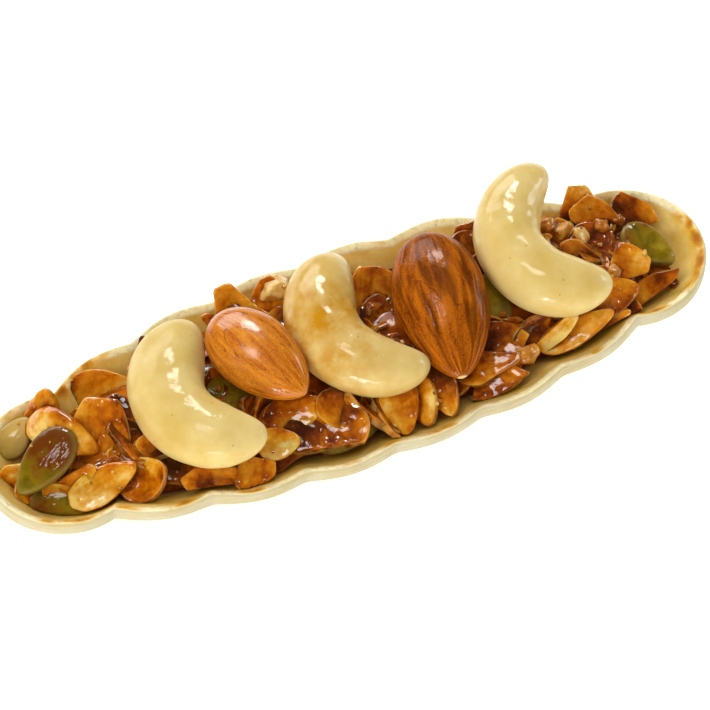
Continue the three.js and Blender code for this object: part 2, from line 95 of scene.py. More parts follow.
# Heap of flakes and seeds; lifts are measured from the rim
WALL_GAP = 0.12
WALL_LOBE_STEPS = 12
WALL_END_STEPS = 18
EDGE_LIFT = -4.2
EDGE_LEAN = 0.8
CROWN_LIFT = 0.8
LEFT_DROP = 2.6
RIGHT_DROP = 1.4
END_RUN = 9
CROWN_POWER = 3
CROWN_END_POWER = 6
CORE_LOBE_STEPS = 10
CORE_END_STEPS = 14
CORE_WALL_STEPS = 5
CORE_CROWN_STEPS = 12
CORE_WANDER = 0.5
CORE_LUMP = 3.5
CARAMEL_VOXEL = 0.36
CARAMEL_SMOOTHING = 3
CARAMEL_EASE = 0.5
CARAMEL_SINK = 0.2

# Flakes, seeds and nut bits of the heap; a rim is given by the shares of the outline where it begins and
# where it is whole
OUTLINE_TAPER = 0.3
PLATE_AROUND = 36
BREAKS = 2
BREAK_REACH = (0.42, 0.88)
BREAK_SHARE = 0.414214
FACE_RINGS = (0.18, 0.36, 0.54, 0.7, 0.84, 0.94)
EDGE_RINGS = ((0.985, 0.92), (1.0, 0.6))
FLAKE_THICKNESS = 1.2
FLAKE_RAGGED = 0.04
RAGGED_LUMP = 0.3
FLAKE_WAVE = 0.3
WAVE_LUMP = 3.5
FLAKE_UNEVEN = 0.1
UNEVEN_LUMP = 2.2
FLAKE_RIM = (0.95, 0.99)
FLAKE_CUP = 0.4
THIN_EDGE = 0.8
ROUND_EDGE = 0.32
ROUND_FROM = 1.5
EDGE_POWER = 4
BEND_LEVEL = 0.4
TONE_RUN = 0.25
SEED_THICKNESS = 1
SEED_DOME = 0.75
DOME_POWER = 0.7
SEED_RIDGE = 0.14
RIDGE_AT = 0.88
RIDGE_WIDTH = 0.06
SEED_WRINKLE = 0.04
WRINKLE_LUMP = 0.7
WRINKLE_STRETCH = 0.35
SEED_RIM = (0.8, 0.98)
BROWN_RUN = 0.5
BIT_AROUND = 24
BIT_ALONG = 16
BIT_SHAPE = (1, 0.8, 0.7)
BIT_TILT = (15, 10)
BIT_UNEVEN = 0.14
BIT_LUMP = 0.5
BIT_FACETS = 12
FACET_REACH = (0.62, 0.86)

# Crumbs on the heap and small shards in its gaps, and where they fall from
CRUMBS = 44
CRUMB_SEED = 29
CRUMB_SIZES = (0.4, 1.4)
CRUMB_LIFT = 1 / 6
CRUMB_TONES = (0.2, 0.7)
SHARDS = 80
SHARD_SEED = 53
SHARD_LENGTHS = (2, 4.2)
SHARD_WIDTHS = (0.9, 2.2)
SHARD_THICKNESS = 0.7
SHARD_TIP = 25
SHARD_ROLL = 35
SHARD_BEND = 0.2
SHARD_LIFT = 0.5
SHARD_TONES = (0.15, 0.8)
FALL_REACH = 46
FALL_HEIGHT = 40

# Numbers drawn with a seed, and how far apart the patterns of two pieces lie
DRAW_FACTOR = 16807
DRAW_LIMIT = 2147483647
WANDER_SHIFT = (17.3, 9.1, 5.7)
PATTERN_STEP = 40
GRAIN_STEP = 3

# How deep a place lies in the heap, which the materials paint as shade: rays that look for cover, how far
# they look and where they start
DEPTH_WAYS = 12
DEPTH_REACH = 3.5
DEPTH_LIFT = 0.5

# Slices that fill the heap between the shown ones
FILLER_FLAKES = 18
FAR_FLAKES = 10
FAR_FROM = 0.35
FILLER_SEED = 11
FILLER_REACH = 40
FILLER_SPREAD = 0.85
FILLER_LIFT = 0.2
FILLER_TIP = 18
FILLER_ROLL = 20
FILLER_LENGTHS = (7, 10)
FILLER_WIDTHS = (3.8, 5.6)
FILLER_TONE = 0.55
GOLDEN_SHARE = 0.618034

# Whole nuts
NUT_AROUND = 112
NUT_ALONG = 144
CASHEW_POWER = 2.6
CASHEW_STRETCH = 2.4
CASHEW_SWELL = 0.035
SWELL_LUMP = 0.8
CASHEW_DENT = 0.012
DENT_LUMP = 0.3
HOLLOW_DEPTH = 0.08
HOLLOW_SPREAD = 0.5
TOAST_MIDDLE = -0.1
TOAST_SPREAD = 0.65
TOAST_LEVEL = 0.85
TOAST_MOTTLE = 0.5
TOAST_LUMP = 3.0
ALMOND_BUTT_POWER = 0.5
ALMOND_TIP_POWER = 0.66
GRAIN_STRETCH = 0.35
FURROW_LUMP = 0.16
FURROW_WHOLE = 0.4
ALMOND_SWELL = 0.12
ALMOND_STRETCH = 1.6
ALMOND_LUMP = 0.9

# Camera: where it stands round the boat, and what the middle of its picture looks at
VIEW_AZIMUTH = -24.2
VIEW_ELEVATION = 54.3
VIEW_DISTANCE = 1000
VIEW_RIGHT = 1.09
VIEW_UP = -0.18
SENSOR = 36
LENS = 372.7

# Floor and open light round the boat, in metres and in strengths
STAGE_HALF = 2.5
FLOOR_GLOW = 0.6
WORLD_LIGHT = 0.06

NOTCH_X = LOBE_PITCH * SIDE_LOBES / 2
END_CENTRE = BOAT_LENGTH / 2 - END_RADIUS
END_NOTCH_Y = math.sqrt(END_RADIUS**2 - (END_CENTRE - NOTCH_X) ** 2)
NOTCH_ELLIPSE = NOTCH_X / math.sqrt(1 - (END_NOTCH_Y / NOTCH_HALF_WIDTH) ** 2)

# Whole nuts: sizes in their own frames, place of the centre (the last value is its lift over the
# rim), and heading, pitch and roll in degrees; toast is how brown a cashew is, ridge how deep an almond's
# furrows are, dark how brown it is, shine how strong a glaze shows and blur how soft its highlights are
CASHEWS = [
    dict(node="cashew_left", bend=9.4, sweep=174, width=10.8, thickness=9.4, taper=0.08,
         place=(-26.3, -2.1, 4.7), turn=(-85, 0, 8), toast=0.15, shine=0.3),
    dict(node="cashew_middle", bend=9.6, sweep=172, width=10.2, thickness=9.6, taper=0.14,
         place=(-2.3, -0.7, 4.9), turn=(-78, -4, 0), toast=1.0, shine=0.55),
    dict(node="cashew_right", bend=9.2, sweep=188, width=9.8, thickness=9.4, taper=-0.03,
         place=(26, 1.9, 5.8), turn=(-87, -6, 7), toast=0.1, shine=0.55),
]
ALMONDS = [
    dict(node="almond_small", length=16.8, width=10.8, thickness=7.8,
         place=(-12.8, 0.3, 6.3), turn=(-65, -8, 8), ridge=0.04, dark=0.0, shine=1.0, blur=0.18),
    dict(node="almond_large", length=22, width=12.9, thickness=8.4,
         place=(13.6, -1.5, 5.2), turn=(-100, -12, 4), ridge=0.14, dark=1.0, shine=0.3, blur=0.07),
]


# Pieces of the heap: place, size along, across and through, heading, pitch and roll, how far the ends
# bend up, where a slice's tip is cut off, how often it is broken, how dark it is, and how brown a seed is
def slice_at(place, size, turn, bend=0.6, cut=1.0, breaks=BREAKS, tone=0.5):
    return dict(place=place, size=size, turn=turn, bend=bend, cut=cut, breaks=breaks, tone=tone)


def seed_at(place, length, width, turn, brown=0.3):
    return dict(place=place, length=length, width=width, turn=turn, brown=brown)


def bit_at(place, size, heading, tone=0.4):
    return dict(place=place, size=size, turn=(heading, *BIT_TILT), tone=tone)


PUMPKIN_SEEDS = [
    seed_at((-44.8, -0.7, 1.5), 11, 6, (-155, -20, -5), 0.75),
    seed_at((-46.2, 6.6, -1.4), 6.6, 4.4, (25, 20, 15), -0.8),
    seed_at((-43.5, -5.3, -3), 10.5, 5.8, (-15, 5, 30), 0.4),
    seed_at((-17.8, 0.6, 0.4), 11, 6.2, (-46, -8, 8), 0.3),
    seed_at((-4.4, -10.6, -2.2), 10.5, 6, (8, 0, -26), 0.3),
    seed_at((21.2, -0.8, 0.9), 8.5, 5, (-70, -25, 5), 0),
    seed_at((45.2, -0.4, 0.2), 8.5, 4.8, (-55, -15, 5), 0.3),
]
SHOWN_SLICES = [
    slice_at((-42, 7.2, 0.2), (8.5, 5, 2.8), (45, 50, -5), 1.5, breaks=0),
    slice_at((-41, 2.6, 1.5), (11, 5.4, 2.4), (-53, 0, 25), -2, breaks=0, tone=0.22),
    slice_at((-36.2, 0.8, 1), (14, 8.4, 1.3), (60, 38, 5), 0.6, 0.7, breaks=0, tone=0.38),
    slice_at((-32.5, 8.8, -1.8), (10, 6.6, 1.2), (-20, 5, 40), tone=0.3),
    slice_at((-38.5, -5.8, -0.8), (10.5, 4.8, 1.6), (5, 15, 25), 0.4, breaks=0, tone=0.25),
    slice_at((-33, -7.2, -0.8), (7.5, 6.2, 1.4), (-20, 30, 20), 1.6, breaks=0, tone=0.4),
    slice_at((-41.5, -3.8, 0), (6, 3.4, 1.1), (-5, 25, 45), tone=0.4),
    slice_at((-45.2, -3.8, -1.5), (6, 3, 1.1), (-20, 5, 50), tone=0.35),
    slice_at((-48, 1.4, -2.2), (5.5, 4, 1.2), (10, 30, 40), tone=0.15),
    slice_at((-46.6, -2, -3.2), (6.5, 5, 1.2), (-50, -15, 10), tone=0.45),
    slice_at((-33.6, -1.6, -0.6), (6, 4.4, 1.1), (35, 20, 35), tone=0.35),
    slice_at((-31.2, -1.8, -0.3), (7.5, 5.4, 1.2), (-85, -20, 10), tone=0.55),
    slice_at((-30, -5, -0.4), (7.5, 5.6, 1.2), (-50, -20, 15)),
    slice_at((-28, -8.3, -1.5), (7.5, 5.4, 1.2), (-85, -15, 10)),
    slice_at((-25.5, 9.6, -0.9), (9, 5, 1.2), (75, 40, 0), tone=0.65),
    slice_at((-24.6, -11, -0.5), (9, 4.6, 1.5), (-25, 0, 30), 0.8, 0.7, tone=0.42),
    slice_at((-18.8, -12.4, -0.5), (7.5, 5.4, 1.3), (45, 25, 20), 1, tone=0.45),
    slice_at((-14, -11, -1.6), (7, 4, 1.2), (-20, 5, 45), tone=0.65),
    slice_at((-10.5, 12.2, 0.4), (9, 8, 1.4), (-15, 5, 40), 1.6),
    slice_at((-6.4, 11, 0), (9.5, 6.5, 1.3), (75, 38, 0)),
    slice_at((7.6, 6.6, 1.1), (13, 8.6, 1.4), (65, 42, 5), 0.6, 0.6, tone=0.36),
    slice_at((7, 3, 0.2), (7.5, 5.4, 1.2), (-65, -10, 10), tone=0.6),
    slice_at((-16, -3.5, 0.5), (6.5, 4, 1.1), (45, 5, 50), tone=0.4),
    slice_at((-14.4, -4.2, 0.5), (6.5, 4, 1.1), (50, 15, 45), tone=0.45),
    slice_at((-11, -7, 0.9), (9, 5.4, 1.6), (0, 10, 20), 0.8, breaks=0, tone=0.48),
    slice_at((-14.5, -9.8, -0.1), (6, 4.4, 1.4), (-15, 5, 30), breaks=0, tone=0.25),
    slice_at((-8, -11.6, -0.1), (9.5, 11.5, 1.5), (-105, -12, 5), 0.3, 0.35, breaks=0, tone=0.72),
    slice_at((-5.3, -8.9, 1.3), (6.5, 5.6, 1.3), (-80, -22, 0), breaks=0, tone=0.72),
    slice_at((-1, -10.2, 0.3), (10, 5.4, 1.3), (-70, -12, -45), 1.2, tone=0.6),
    slice_at((0.6, -11.4, -0.8), (8.5, 5, 1.2), (-80, -14, -50)),
    slice_at((3, -10.8, 0), (8.5, 5.2, 1.5), (-100, -30, 0), 0.9, breaks=0, tone=0.36),
    slice_at((6.3, -11, -0.5), (7.5, 4.2, 1.4), (-95, -20, 35), breaks=0, tone=0.36),
    slice_at((9.4, -10.6, 0.1), (8.5, 4.4, 1.3), (-90, -20, 30), breaks=0, tone=0.4),
    slice_at((23.6, 10.6, 0.3), (9.5, 5.6, 1.4), (65, 42, 5), 0.8),
    slice_at((22, 8, 0.2), (7.5, 5.2, 1.2), (-75, -35, 0), tone=0.6),
    slice_at((22.5, 4, 0.7), (7.5, 4, 1.2), (-50, -30, 40), tone=0.65),
    slice_at((21.5, -5, 0.5), (7, 4, 1.2), (-30, -5, 45), tone=0.55),
    slice_at((20.5, -7.3, 0.2), (8, 5.4, 1.2), (-30, 0, 30), tone=0.6),
    slice_at((16.5, -9.4, 0.3), (9.5, 5.8, 1.3), (-15, 5, 20)),
    slice_at((17, -11.2, -1), (10.5, 5.2, 1.5), (-10, 10, 25), 0.8, tone=0.45),
    slice_at((27.5, -8.6, 0.3), (7.5, 2.8, 1.3), (5, 30, 45), 0.3, tone=0.12),
    slice_at((30.4, -9, -0.6), (11.5, 3.8, 1.5), (0, 15, 25), 0.5, breaks=0, tone=0.22),
    slice_at((33.4, -8.8, -1.6), (10.5, 4, 1.1), (-5, 20, 45), 0.8, tone=0.55),
    slice_at((37, -7.8, -2), (8.5, 4, 1.1), (-5, 20, 45), 0.8, tone=0.6),
    slice_at((36.5, -6.4, 0.3), (9, 5.4, 2), (0, 10, 20), -1, breaks=0, tone=0.42),
    slice_at((41, -3, 0.7), (8, 6.2, 1.3), (-35, -5, 25), 0.4, 0.7, tone=0.34),
    slice_at((42.8, -6, -1.8), (10, 3.6, 1.2), (5, 25, 35), 1.2),
    slice_at((46, 5.2, -0.2), (8, 5.2, 1.3), (-55, -25, 15), tone=0.65),
    slice_at((38.3, 9.4, 0.3), (9.5, 7.5, 1.2), (70, 42, 0), 0.4, 0.7, tone=0.35),
    slice_at((40.5, 7.2, 0.9), (7, 4.4, 1.1), (-35, -10, 40)),
    slice_at((39, 2.5, 0.2), (8.5, 5.8, 1.2), (-40, -5, 10), tone=0.7),
    slice_at((45.8, -3.4, -2), (7, 5.2, 1.2), (-85, -15, 10)),
    slice_at((36, 1.4, 0.6), (7.5, 4.4, 1.2), (-30, -5, 40), tone=0.7),
    slice_at((34.4, 7.8, 0.3), (6, 3, 1.1), (-20, 0, 45), tone=0.2),
    slice_at((1.2, 12, -0.6), (8, 5, 1.3), (80, 40, 0), tone=0.6),
    slice_at((-22, -8.6, 0.2), (7, 3.6, 1.1), (-35, 5, 50), tone=0.55),
    slice_at((-36.4, -4.2, -0.8), (7.5, 3.6, 1.1), (-60, -10, 15)),
    slice_at((19.2, -3.4, 0.8), (6.5, 3, 1.1), (-40, -10, 50)),
    slice_at((24.6, -7.2, 0.2), (8, 4, 1.1), (20, 15, 50), tone=0.7),
]
NUT_BITS = [
    bit_at((-5, 12.8, 1.5), 5.4, 20, 0.1),
    bit_at((22, -10.3, 0.4), 4.2, 10, 0.45),
    bit_at((38.6, -3.3, 1.1), 3, 40, 0.3),
    bit_at((35.4, 6.2, 0.7), 3.4, 15, 0.3),
    bit_at((37.2, 4.6, 0.6), 3.8, 60, 0.15),
    bit_at((40.3, 5, 0.5), 3.4, -40, 0.5),
    bit_at((43.2, 5.4, 0), 3.2, -70, 0.7),
    bit_at((33.6, 7.8, 0.5), 3.8, 30, 0.5),
    bit_at((42.6, 1, 0), 3.6, 12, 0.6),
]

# Toasted patches of the wafer: place and size, and how brown they are
TOASTED = [
    ((-48.3, -8.8), 1.4, 0.8), ((-43.7, -10.3), 2.6, 0.9), ((-37.5, -11.4), 2.0, 0.8),
    ((-30.1, -13.3), 2.4, 0.7), ((-20.8, -15.6), 2.0, 0.7), ((6.8, -17.0), 3.0, 0.6),
    ((-0.3, -16.4), 2.0, 0.6), ((-7, -17), 1.6, 0.5), ((31, -14.4), 2.0, 0.6),
    ((14, -16), 3.0, 0.4), ((40.7, -11.7), 3.0, 1.0), ((51.6, 1.4), 2.2, 1.0),
    ((50.8, -4.8), 3.0, 0.8), ((-32.1, 14.0), 4.5, 0.4), ((-21.6, 15.2), 4.0, 0.2),
    ((-37.6, 11.3), 2.6, 0.9), ((-46.2, 10.1), 3.0, 0.4), ((13.5, 15.8), 3.5, 0.3),
    ((-33.6, 13.6), 2.2, 0.8), ((-41.5, 10.9), 2.2, 0.7), ((52, -1.8), 2.6, 0.8),
    ((48.6, -7.2), 2.4, 0.8), ((4, 16.4), 4.0, 0.25), ((44, 10), 3.0, 0.25),
]


# Small helpers for forms
def lerp(low, high, share):
    return low + (high - low) * share


def smooth_step(low, high, value):
    share = np.clip((value - low) / (high - low), 0, 1)
    return share * share * (3 - 2 * share)


def wander(spots, lump, seed=0):
    """Smooth noise from about -1 to 1 at each place, with lumps of the given size."""
    shift = Vector(WANDER_SHIFT) * seed
    return np.array([noise.noise(Vector(spot) / lump + shift) for spot in np.reshape(spots, (-1, 3))])


def ring_faces(rings, around):
    """Faces of a closed body whose vertices are a pole, rings of vertices, and the other pole."""
    faces = []
    last = rings * around + 1
    for j in range(around):
        k = (j + 1) % around
        faces.append((0, 1 + k, 1 + j))
        faces.append((last, last - around + j, last - around + k))
        for i in range(rings - 1):
            row = 1 + i * around
            faces.append((row + j, row + k, row + around + k, row + around + j))
    return faces


def band_faces(rows, around):
    """Faces of a body whose vertices are rows around the boat, the first and the last on the spine."""
    faces = []
    for i in range(rows - 1):
        for j in range(around):
            k = (j + 1) % around
            faces.append((i * around + j, i * around + k, (i + 1) * around + k, (i + 1) * around + j))
    return faces


def set_down(spots, place, turn):
    """Heading about Z, then the tip lifted by the pitch, then a roll about the length."""
    heading, pitch, roll = (math.radians(value) for value in turn)
    spin = np.array(Euler((roll, -pitch, heading), "XYZ").to_matrix())
    return spots @ spin.T + np.array((place[0], place[1], RIM_HEIGHT + place[2]))


# A mesh that is put together from several bodies, with values for each vertex
class Bodies:
    def __init__(self, parts=()):
        self.spots = []
        self.faces = []
        self.values = {}
        self.count = 0
        for spots, faces in parts:
            self.add(spots, faces)

    def add(self, spots, faces, **values):
        self.faces += [tuple(corner + self.count for corner in face) for face in faces]
        self.spots.append(spots)
        self.count += len(spots)
        for key, value in values.items():
            self.values.setdefault(key, []).append(value)

    def all_spots(self):
        return np.concatenate(self.spots)

    def mesh(self, name):
        mesh = bpy.data.meshes.new(name)
        mesh.from_pydata((self.all_spots() * MM).tolist(), [], self.faces)
        mesh.shade_smooth()
        for key, parts in self.values.items():
            add_values(mesh, key, np.concatenate(parts))
        return mesh


def add_values(mesh, key, values):
    """Store a number or a vector for each vertex, for the materials to read."""
    if values.ndim == 2:
        mesh.attributes.new(key, "FLOAT_VECTOR", "POINT").data.foreach_set("vector", values.ravel())
    else:
        mesh.attributes.new(key, "FLOAT", "POINT").data.foreach_set("value", values)


def add_piece(name, mesh, material, nodes):
    mesh.materials.append(material)
    piece = bpy.data.objects.new(name, mesh)
    bpy.context.collection.objects.link(piece)
    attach(piece, "root")
    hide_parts(*nodes)
    return piece


# Outline of the boat
def notch_half_width(x):
    return NOTCH_HALF_WIDTH * math.sqrt(1 - (x / NOTCH_ELLIPSE) ** 2)


def boat_stations(lobe_steps, end_steps):
    """Stations around the boat, as columns: x, y, bump, spine and the direction out."""
    half = []
    notch_angle = math.acos((NOTCH_X - END_CENTRE) / END_RADIUS)
    for i in range(end_steps):
        angle = notch_angle * i / end_steps
        half.append((END_CENTRE + END_RADIUS * math.cos(angle), END_RADIUS * math.sin(angle), 0))
    for i in range(SIDE_LOBES * lobe_steps + 1):
        x = NOTCH_X - LOBE_PITCH * i / lobe_steps
        wave = math.sin(math.pi * i / lobe_steps)
        bump = SCALLOP_DEPTH * (math.hypot(wave, NOTCH_ROUNDING) - NOTCH_ROUNDING)
        half.append((x, notch_half_width(x), bump))
    half += [(-x, y, bump) for x, y, bump in reversed(half[:end_steps])]
    around = np.array(half + [(x, -y, bump) for x, y, bump in reversed(half[1:-1])])
    x, y, bump = around.T
    spine = np.clip(SPINE_SHARE * x, -END_CENTRE, END_CENTRE)
    reach = np.hypot(x - spine, y)
    return np.stack([x, y, bump, spine, (x - spine) / reach, y / reach], axis=1)


def spine_row(spine, z):
    """The row of a body that lies on the spine, at a height."""
    return np.stack([spine, 0 * spine, 0 * spine + z], axis=1)


def flute_at(z):
    """How much of the scallop is left at a height: the flutes fade towards the floor."""
    return lerp(FLOOR_FLUTE, 1, np.clip(z / RIM_HEIGHT, 0, 1))


# Section of the wafer, as inset and height
def hull_curve(run_start, run_end, top, foot):
    shares = np.linspace(0, 1, HULL_STEPS)
    heights = foot + (top - foot) * (1 - shares) ** HULL_CURVE
    return np.stack([lerp(run_start, run_end, shares), heights], axis=1)


def inner_wall():
    return hull_curve(RIM_WIDTH + LIP_STEP, INNER_RUN, RIM_HEIGHT - RIM_DROP - LIP_STEP, FLOOR)


def wafer_section():
    """Section from the foot over the rim to the floor, evenly spaced and with its corners eased."""
    lip_foot = RIM_HEIGHT - LIP_HEIGHT
    outside = hull_curve(LIP_STEP, WALL_RUN, lip_foot - LIP_STEP, 0)[::-1]
    lip = [(0, lip_foot), (0, RIM_HEIGHT - RIM_EDGE)]
    rim = [(RIM_EDGE, RIM_HEIGHT), (RIM_WIDTH, RIM_HEIGHT - RIM_DROP)]
    corners = np.concatenate([outside, lip, rim, inner_wall()])
    run = np.concatenate([[0], np.cumsum(np.hypot(*np.diff(corners, axis=0).T))])
    even = np.linspace(0, run[-1], SECTION_STEPS)
    section = np.stack([np.interp(even, run, corners[:, 0]), np.interp(even, run, corners[:, 1])], axis=1)
    for _ in range(SECTION_SMOOTHING):
        section[1:-1] = (section[:-2] + 2 * section[1:-1] + section[2:]) / 4
    return section


# Wafer shell
def toast_at(spots):
    """How toasted the wafer is at each place: the strongest of the named patches."""
    toast = np.zeros(len(spots))
    for (x, y), size, strength in TOASTED:
        far = np.hypot(spots[:, 0] - x, spots[:, 1] - y) / size
        toast = np.maximum(toast, strength * np.exp(-far**2))
    return toast


def spread(band, around):
    """A value for each row of the section, given to the whole row; nothing at the foot and the floor."""
    return np.repeat(np.pad(band[:, 0], 1), around)


def build_shell(material):
    stations = boat_stations(SHELL_LOBE_STEPS, SHELL_END_STEPS)
    section = wafer_section()
    x, y, bump, spine, out_x, out_y = stations.T
    inset = section[:, :1]
    height = section[:, 1:]
    out = bump * flute_at(height) - inset
    plain = np.stack(np.broadcast_arrays(x + out_x * out, y + out_y * out, height), axis=2)
    shape = plain.shape[:2]
    crest = smooth_step(RIM_HEIGHT - CREST_FROM, RIM_HEIGHT - CREST_WHOLE, height)
    inner_edge = crest * smooth_step(RIM_EDGE, RIM_WIDTH, inset)
    outer_lip = crest * (1 - smooth_step(LIP_FADE, RIM_EDGE, inset))
    rough = wander(plain, CRUMBLE_LUMP, 2).reshape(shape)
    out = out + OUTLINE_WANDER * wander(plain, OUTLINE_LUMP, 1).reshape(shape) * height / RIM_HEIGHT
    out = out - CRUMBLE * inner_edge * (CRUMBLE_LEVEL + rough)
    out = out - GROOVE_DEPTH * outer_lip * np.sin(2 * np.pi * height / GROOVE_SPACING)
    rise = CREST_WANDER * crest * wander(plain, CREST_LUMP, 3).reshape(shape)
    rise = rise + CRUMBLE_RISE * inner_edge * rough
    spots = np.stack(np.broadcast_arrays(x + out_x * out, y + out_y * out, height + rise), axis=2)
    feet = spine_row(spine, section[0, 1])
    floor = spine_row(spine, section[-1, 1])
    rows = np.concatenate([feet[None], spots, floor[None]])
    around = len(stations)
    flat = rows.reshape(-1, 3)
    past_rim = np.arange(len(section))[:, None] > SECTION_STEPS / 2
    inside = smooth_step(RIM_WIDTH, RIM_WIDTH + WALL_BLEND, inset) * past_rim
    # Top band of the rim, which the material paints paler: its own pale crumb, with painted light on the top
    # of the rim
    crust = (crest - outer_lip) * (1 - inside)
    toasted = crest * smooth_step(0, TOAST_WHOLE, inset)
    shell = Bodies()
    shell.add(
        flat, band_faces(len(rows), around),
        local=flat, toast=toast_at(flat) * spread(toasted, around),
        inside=spread(inside, around), crust=spread(crust, around),
    )
    return add_piece("wafer", shell.mesh("wafer"), material, ["wafer_shell"])


# Free space inside the wafer
WALL = inner_wall()[::-1]
WALL_STATIONS = boat_stations(WALL_LOBE_STEPS, WALL_END_STEPS)


def inner_inset(z):
    """Inset of the wafer's inner wall at a height."""
    return np.interp(z, np.append(WALL[:, 1], RIM_HEIGHT - RIM_DROP), np.append(WALL[:, 0], RIM_WIDTH))


def clear_of_wall(spots):
    """Move what would pass into the wafer's wall back inside it."""
    x, y, bump, spine, out_x, out_y = WALL_STATIONS.T
    reach = np.hypot(x - spine, y)
    moved = spots.copy()
    aside = np.abs((spots[:, :1] - spine) * out_y - spots[:, 1:2] * out_x)
    along = (spots[:, :1] - spine) * out_x + spots[:, 1:2] * out_y
    near = np.argmin(np.where(along > 0, aside, np.inf), axis=1)
    row = np.arange(len(spots))
    inset = reach[near] + bump[near] * flute_at(spots[:, 2]) - along[row, near]
    push = np.where(spots[:, 2] < RIM_HEIGHT, inner_inset(spots[:, 2]) + WALL_GAP - inset, 0)
    push = np.maximum(push, 0)
    moved[:, 0] -= out_x[near] * push
    moved[:, 1] -= out_y[near] * push
    moved[:, 2] = np.maximum(moved[:, 2], FLOOR + WALL_GAP)
    return moved


# Core of the heap
def end_drop(x):
    return np.where(x < 0, LEFT_DROP, RIGHT_DROP)


def heap_edge(x, out_y):
    """Height at which the heap meets the wall: lower towards the ends and on the near side."""
    to_end = np.clip((np.abs(x) - (BOAT_LENGTH / 2 - END_RUN)) / END_RUN, 0, 1)
    return RIM_HEIGHT + EDGE_LIFT + EDGE_LEAN * out_y - end_drop(x) * to_end


def heap_crown(x):
    return RIM_HEIGHT + CROWN_LIFT - end_drop(x) * np.abs(x / END_CENTRE) ** CROWN_END_POWER


def heap_height(edge, crown, share):
    return lerp(edge, crown, np.sqrt(1 - (1 - share) ** CROWN_POWER))


def heap_core():
    """The core follows the inside of the wafer and rises to the crown."""
    x, y, bump, spine, out_x, out_y = boat_stations(CORE_LOBE_STEPS, CORE_END_STEPS).T
    foot = FLOOR + WALL_GAP
    edge = heap_edge(x, out_y)
    rows = [spine_row(spine, foot)]
    for share in np.linspace(0, 1, CORE_WALL_STEPS):
        z = lerp(foot, edge, share)
        out = bump * flute_at(z) - inner_inset(z) - WALL_GAP
        rows.append(np.stack([x + out_x * out, y + out_y * out, z], axis=1))
    top = rows[-1]
    for share in np.linspace(0, 1, CORE_CROWN_STEPS)[1:]:
        row = lerp(top, spine_row(spine, top[:, 2]), share)
        row[:, 2] = heap_height(edge, heap_crown(spine), share) + CORE_WANDER * wander(row, CORE_LUMP, 4)
        rows.append(row)
    return np.concatenate(rows), band_faces(len(rows), len(x))


# Flat pieces: rings over one face, round the edge and over the other
def plate_rings():
    upper = [(share, 1.0) for share in FACE_RINGS] + list(EDGE_RINGS)
    lower = [(share, -side) for share, side in upper]
    return np.array(lower + upper[::-1])


PLATE_FACES = ring_faces(len(plate_rings()), PLATE_AROUND)


def broken_outline(number, breaks):
    """Outline of a slice that is broken off straight along a few lines."""
    outline = round_outline()
    for turn in range(number * BREAKS, number * BREAKS + breaks):
        angle = 2 * np.pi * (turn * GOLDEN_SHARE % 1)
        way = np.array((np.cos(angle), np.sin(angle)))
        reach = lerp(*BREAK_REACH, turn * BREAK_SHARE % 1)
        outline = outline - np.maximum(outline @ way - reach, 0)[:, None] * way
    ragged = wander(np.pad(outline, ((0, 0), (0, 1))), RAGGED_LUMP, number)
    return outline * (1 + FLAKE_RAGGED * ragged)[:, None]


def round_outline():
    angle = np.linspace(0, 2 * np.pi, PLATE_AROUND, endpoint=False)
    return np.stack([np.cos(angle), np.sin(angle)], axis=1)


def plate_spots(outline, cut=1.0):
    """For each vertex of a flat piece: shares along and across, its side, and its share of the outline."""
    shares, sides = plate_rings().T
    along, across = (shares[:, None, None] * outline).reshape(-1, 2).T
    across = np.pad(across * (1 - OUTLINE_TAPER * along), 1)
    along = np.pad(np.minimum(along, cut), 1)
    side = np.concatenate([[-1], np.repeat(sides, len(outline)), [1]])
    share = np.pad(np.repeat(shares, len(outline)), 1)
    return along, across, side, share


def put_in_heap(bodies, one, number, local, faces, **values):
    """Set a piece down in its place in the heap, clear of the wafer's wall."""
    spots = clear_of_wall(set_down(local, one["place"], one["turn"]))
    bodies.add(spots, faces, local=local + PATTERN_STEP * number, **values)


def add_flake(bodies, one, number):
    along, across, side, share = plate_spots(broken_outline(number, one["breaks"]), one["cut"])
    length, width, thickness = one["size"]
    flat = np.stack([along * length / 2, across * width / 2, 0 * along], axis=1)
    rounding = min(max(thickness - ROUND_FROM, 0), 1)
    edge = lerp(THIN_EDGE, ROUND_EDGE, rounding)
    thick = thickness / 2 * np.sqrt(1 - (1 - edge**2) * share**EDGE_POWER)
    thick = thick + FLAKE_UNEVEN * wander(flat, UNEVEN_LUMP, number + 7)
    lift = one["bend"] * (along**2 - BEND_LEVEL) + FLAKE_CUP * (across**2 - BEND_LEVEL)
    lift = lift + FLAKE_WAVE * wander(flat, WAVE_LUMP, number + 3)
    local = flat + np.stack([0 * along, 0 * along, side * thick + lift], axis=1)
    darker = 2 * np.pi * (number * GOLDEN_SHARE % 1)
    tone = one["tone"] + TONE_RUN * (np.cos(darker) * along + np.sin(darker) * across)
    bare = smooth_step(*FLAKE_RIM, share) * (1 - rounding)
    put_in_heap(bodies, one, number, local, PLATE_FACES, edge=bare, tone=tone)


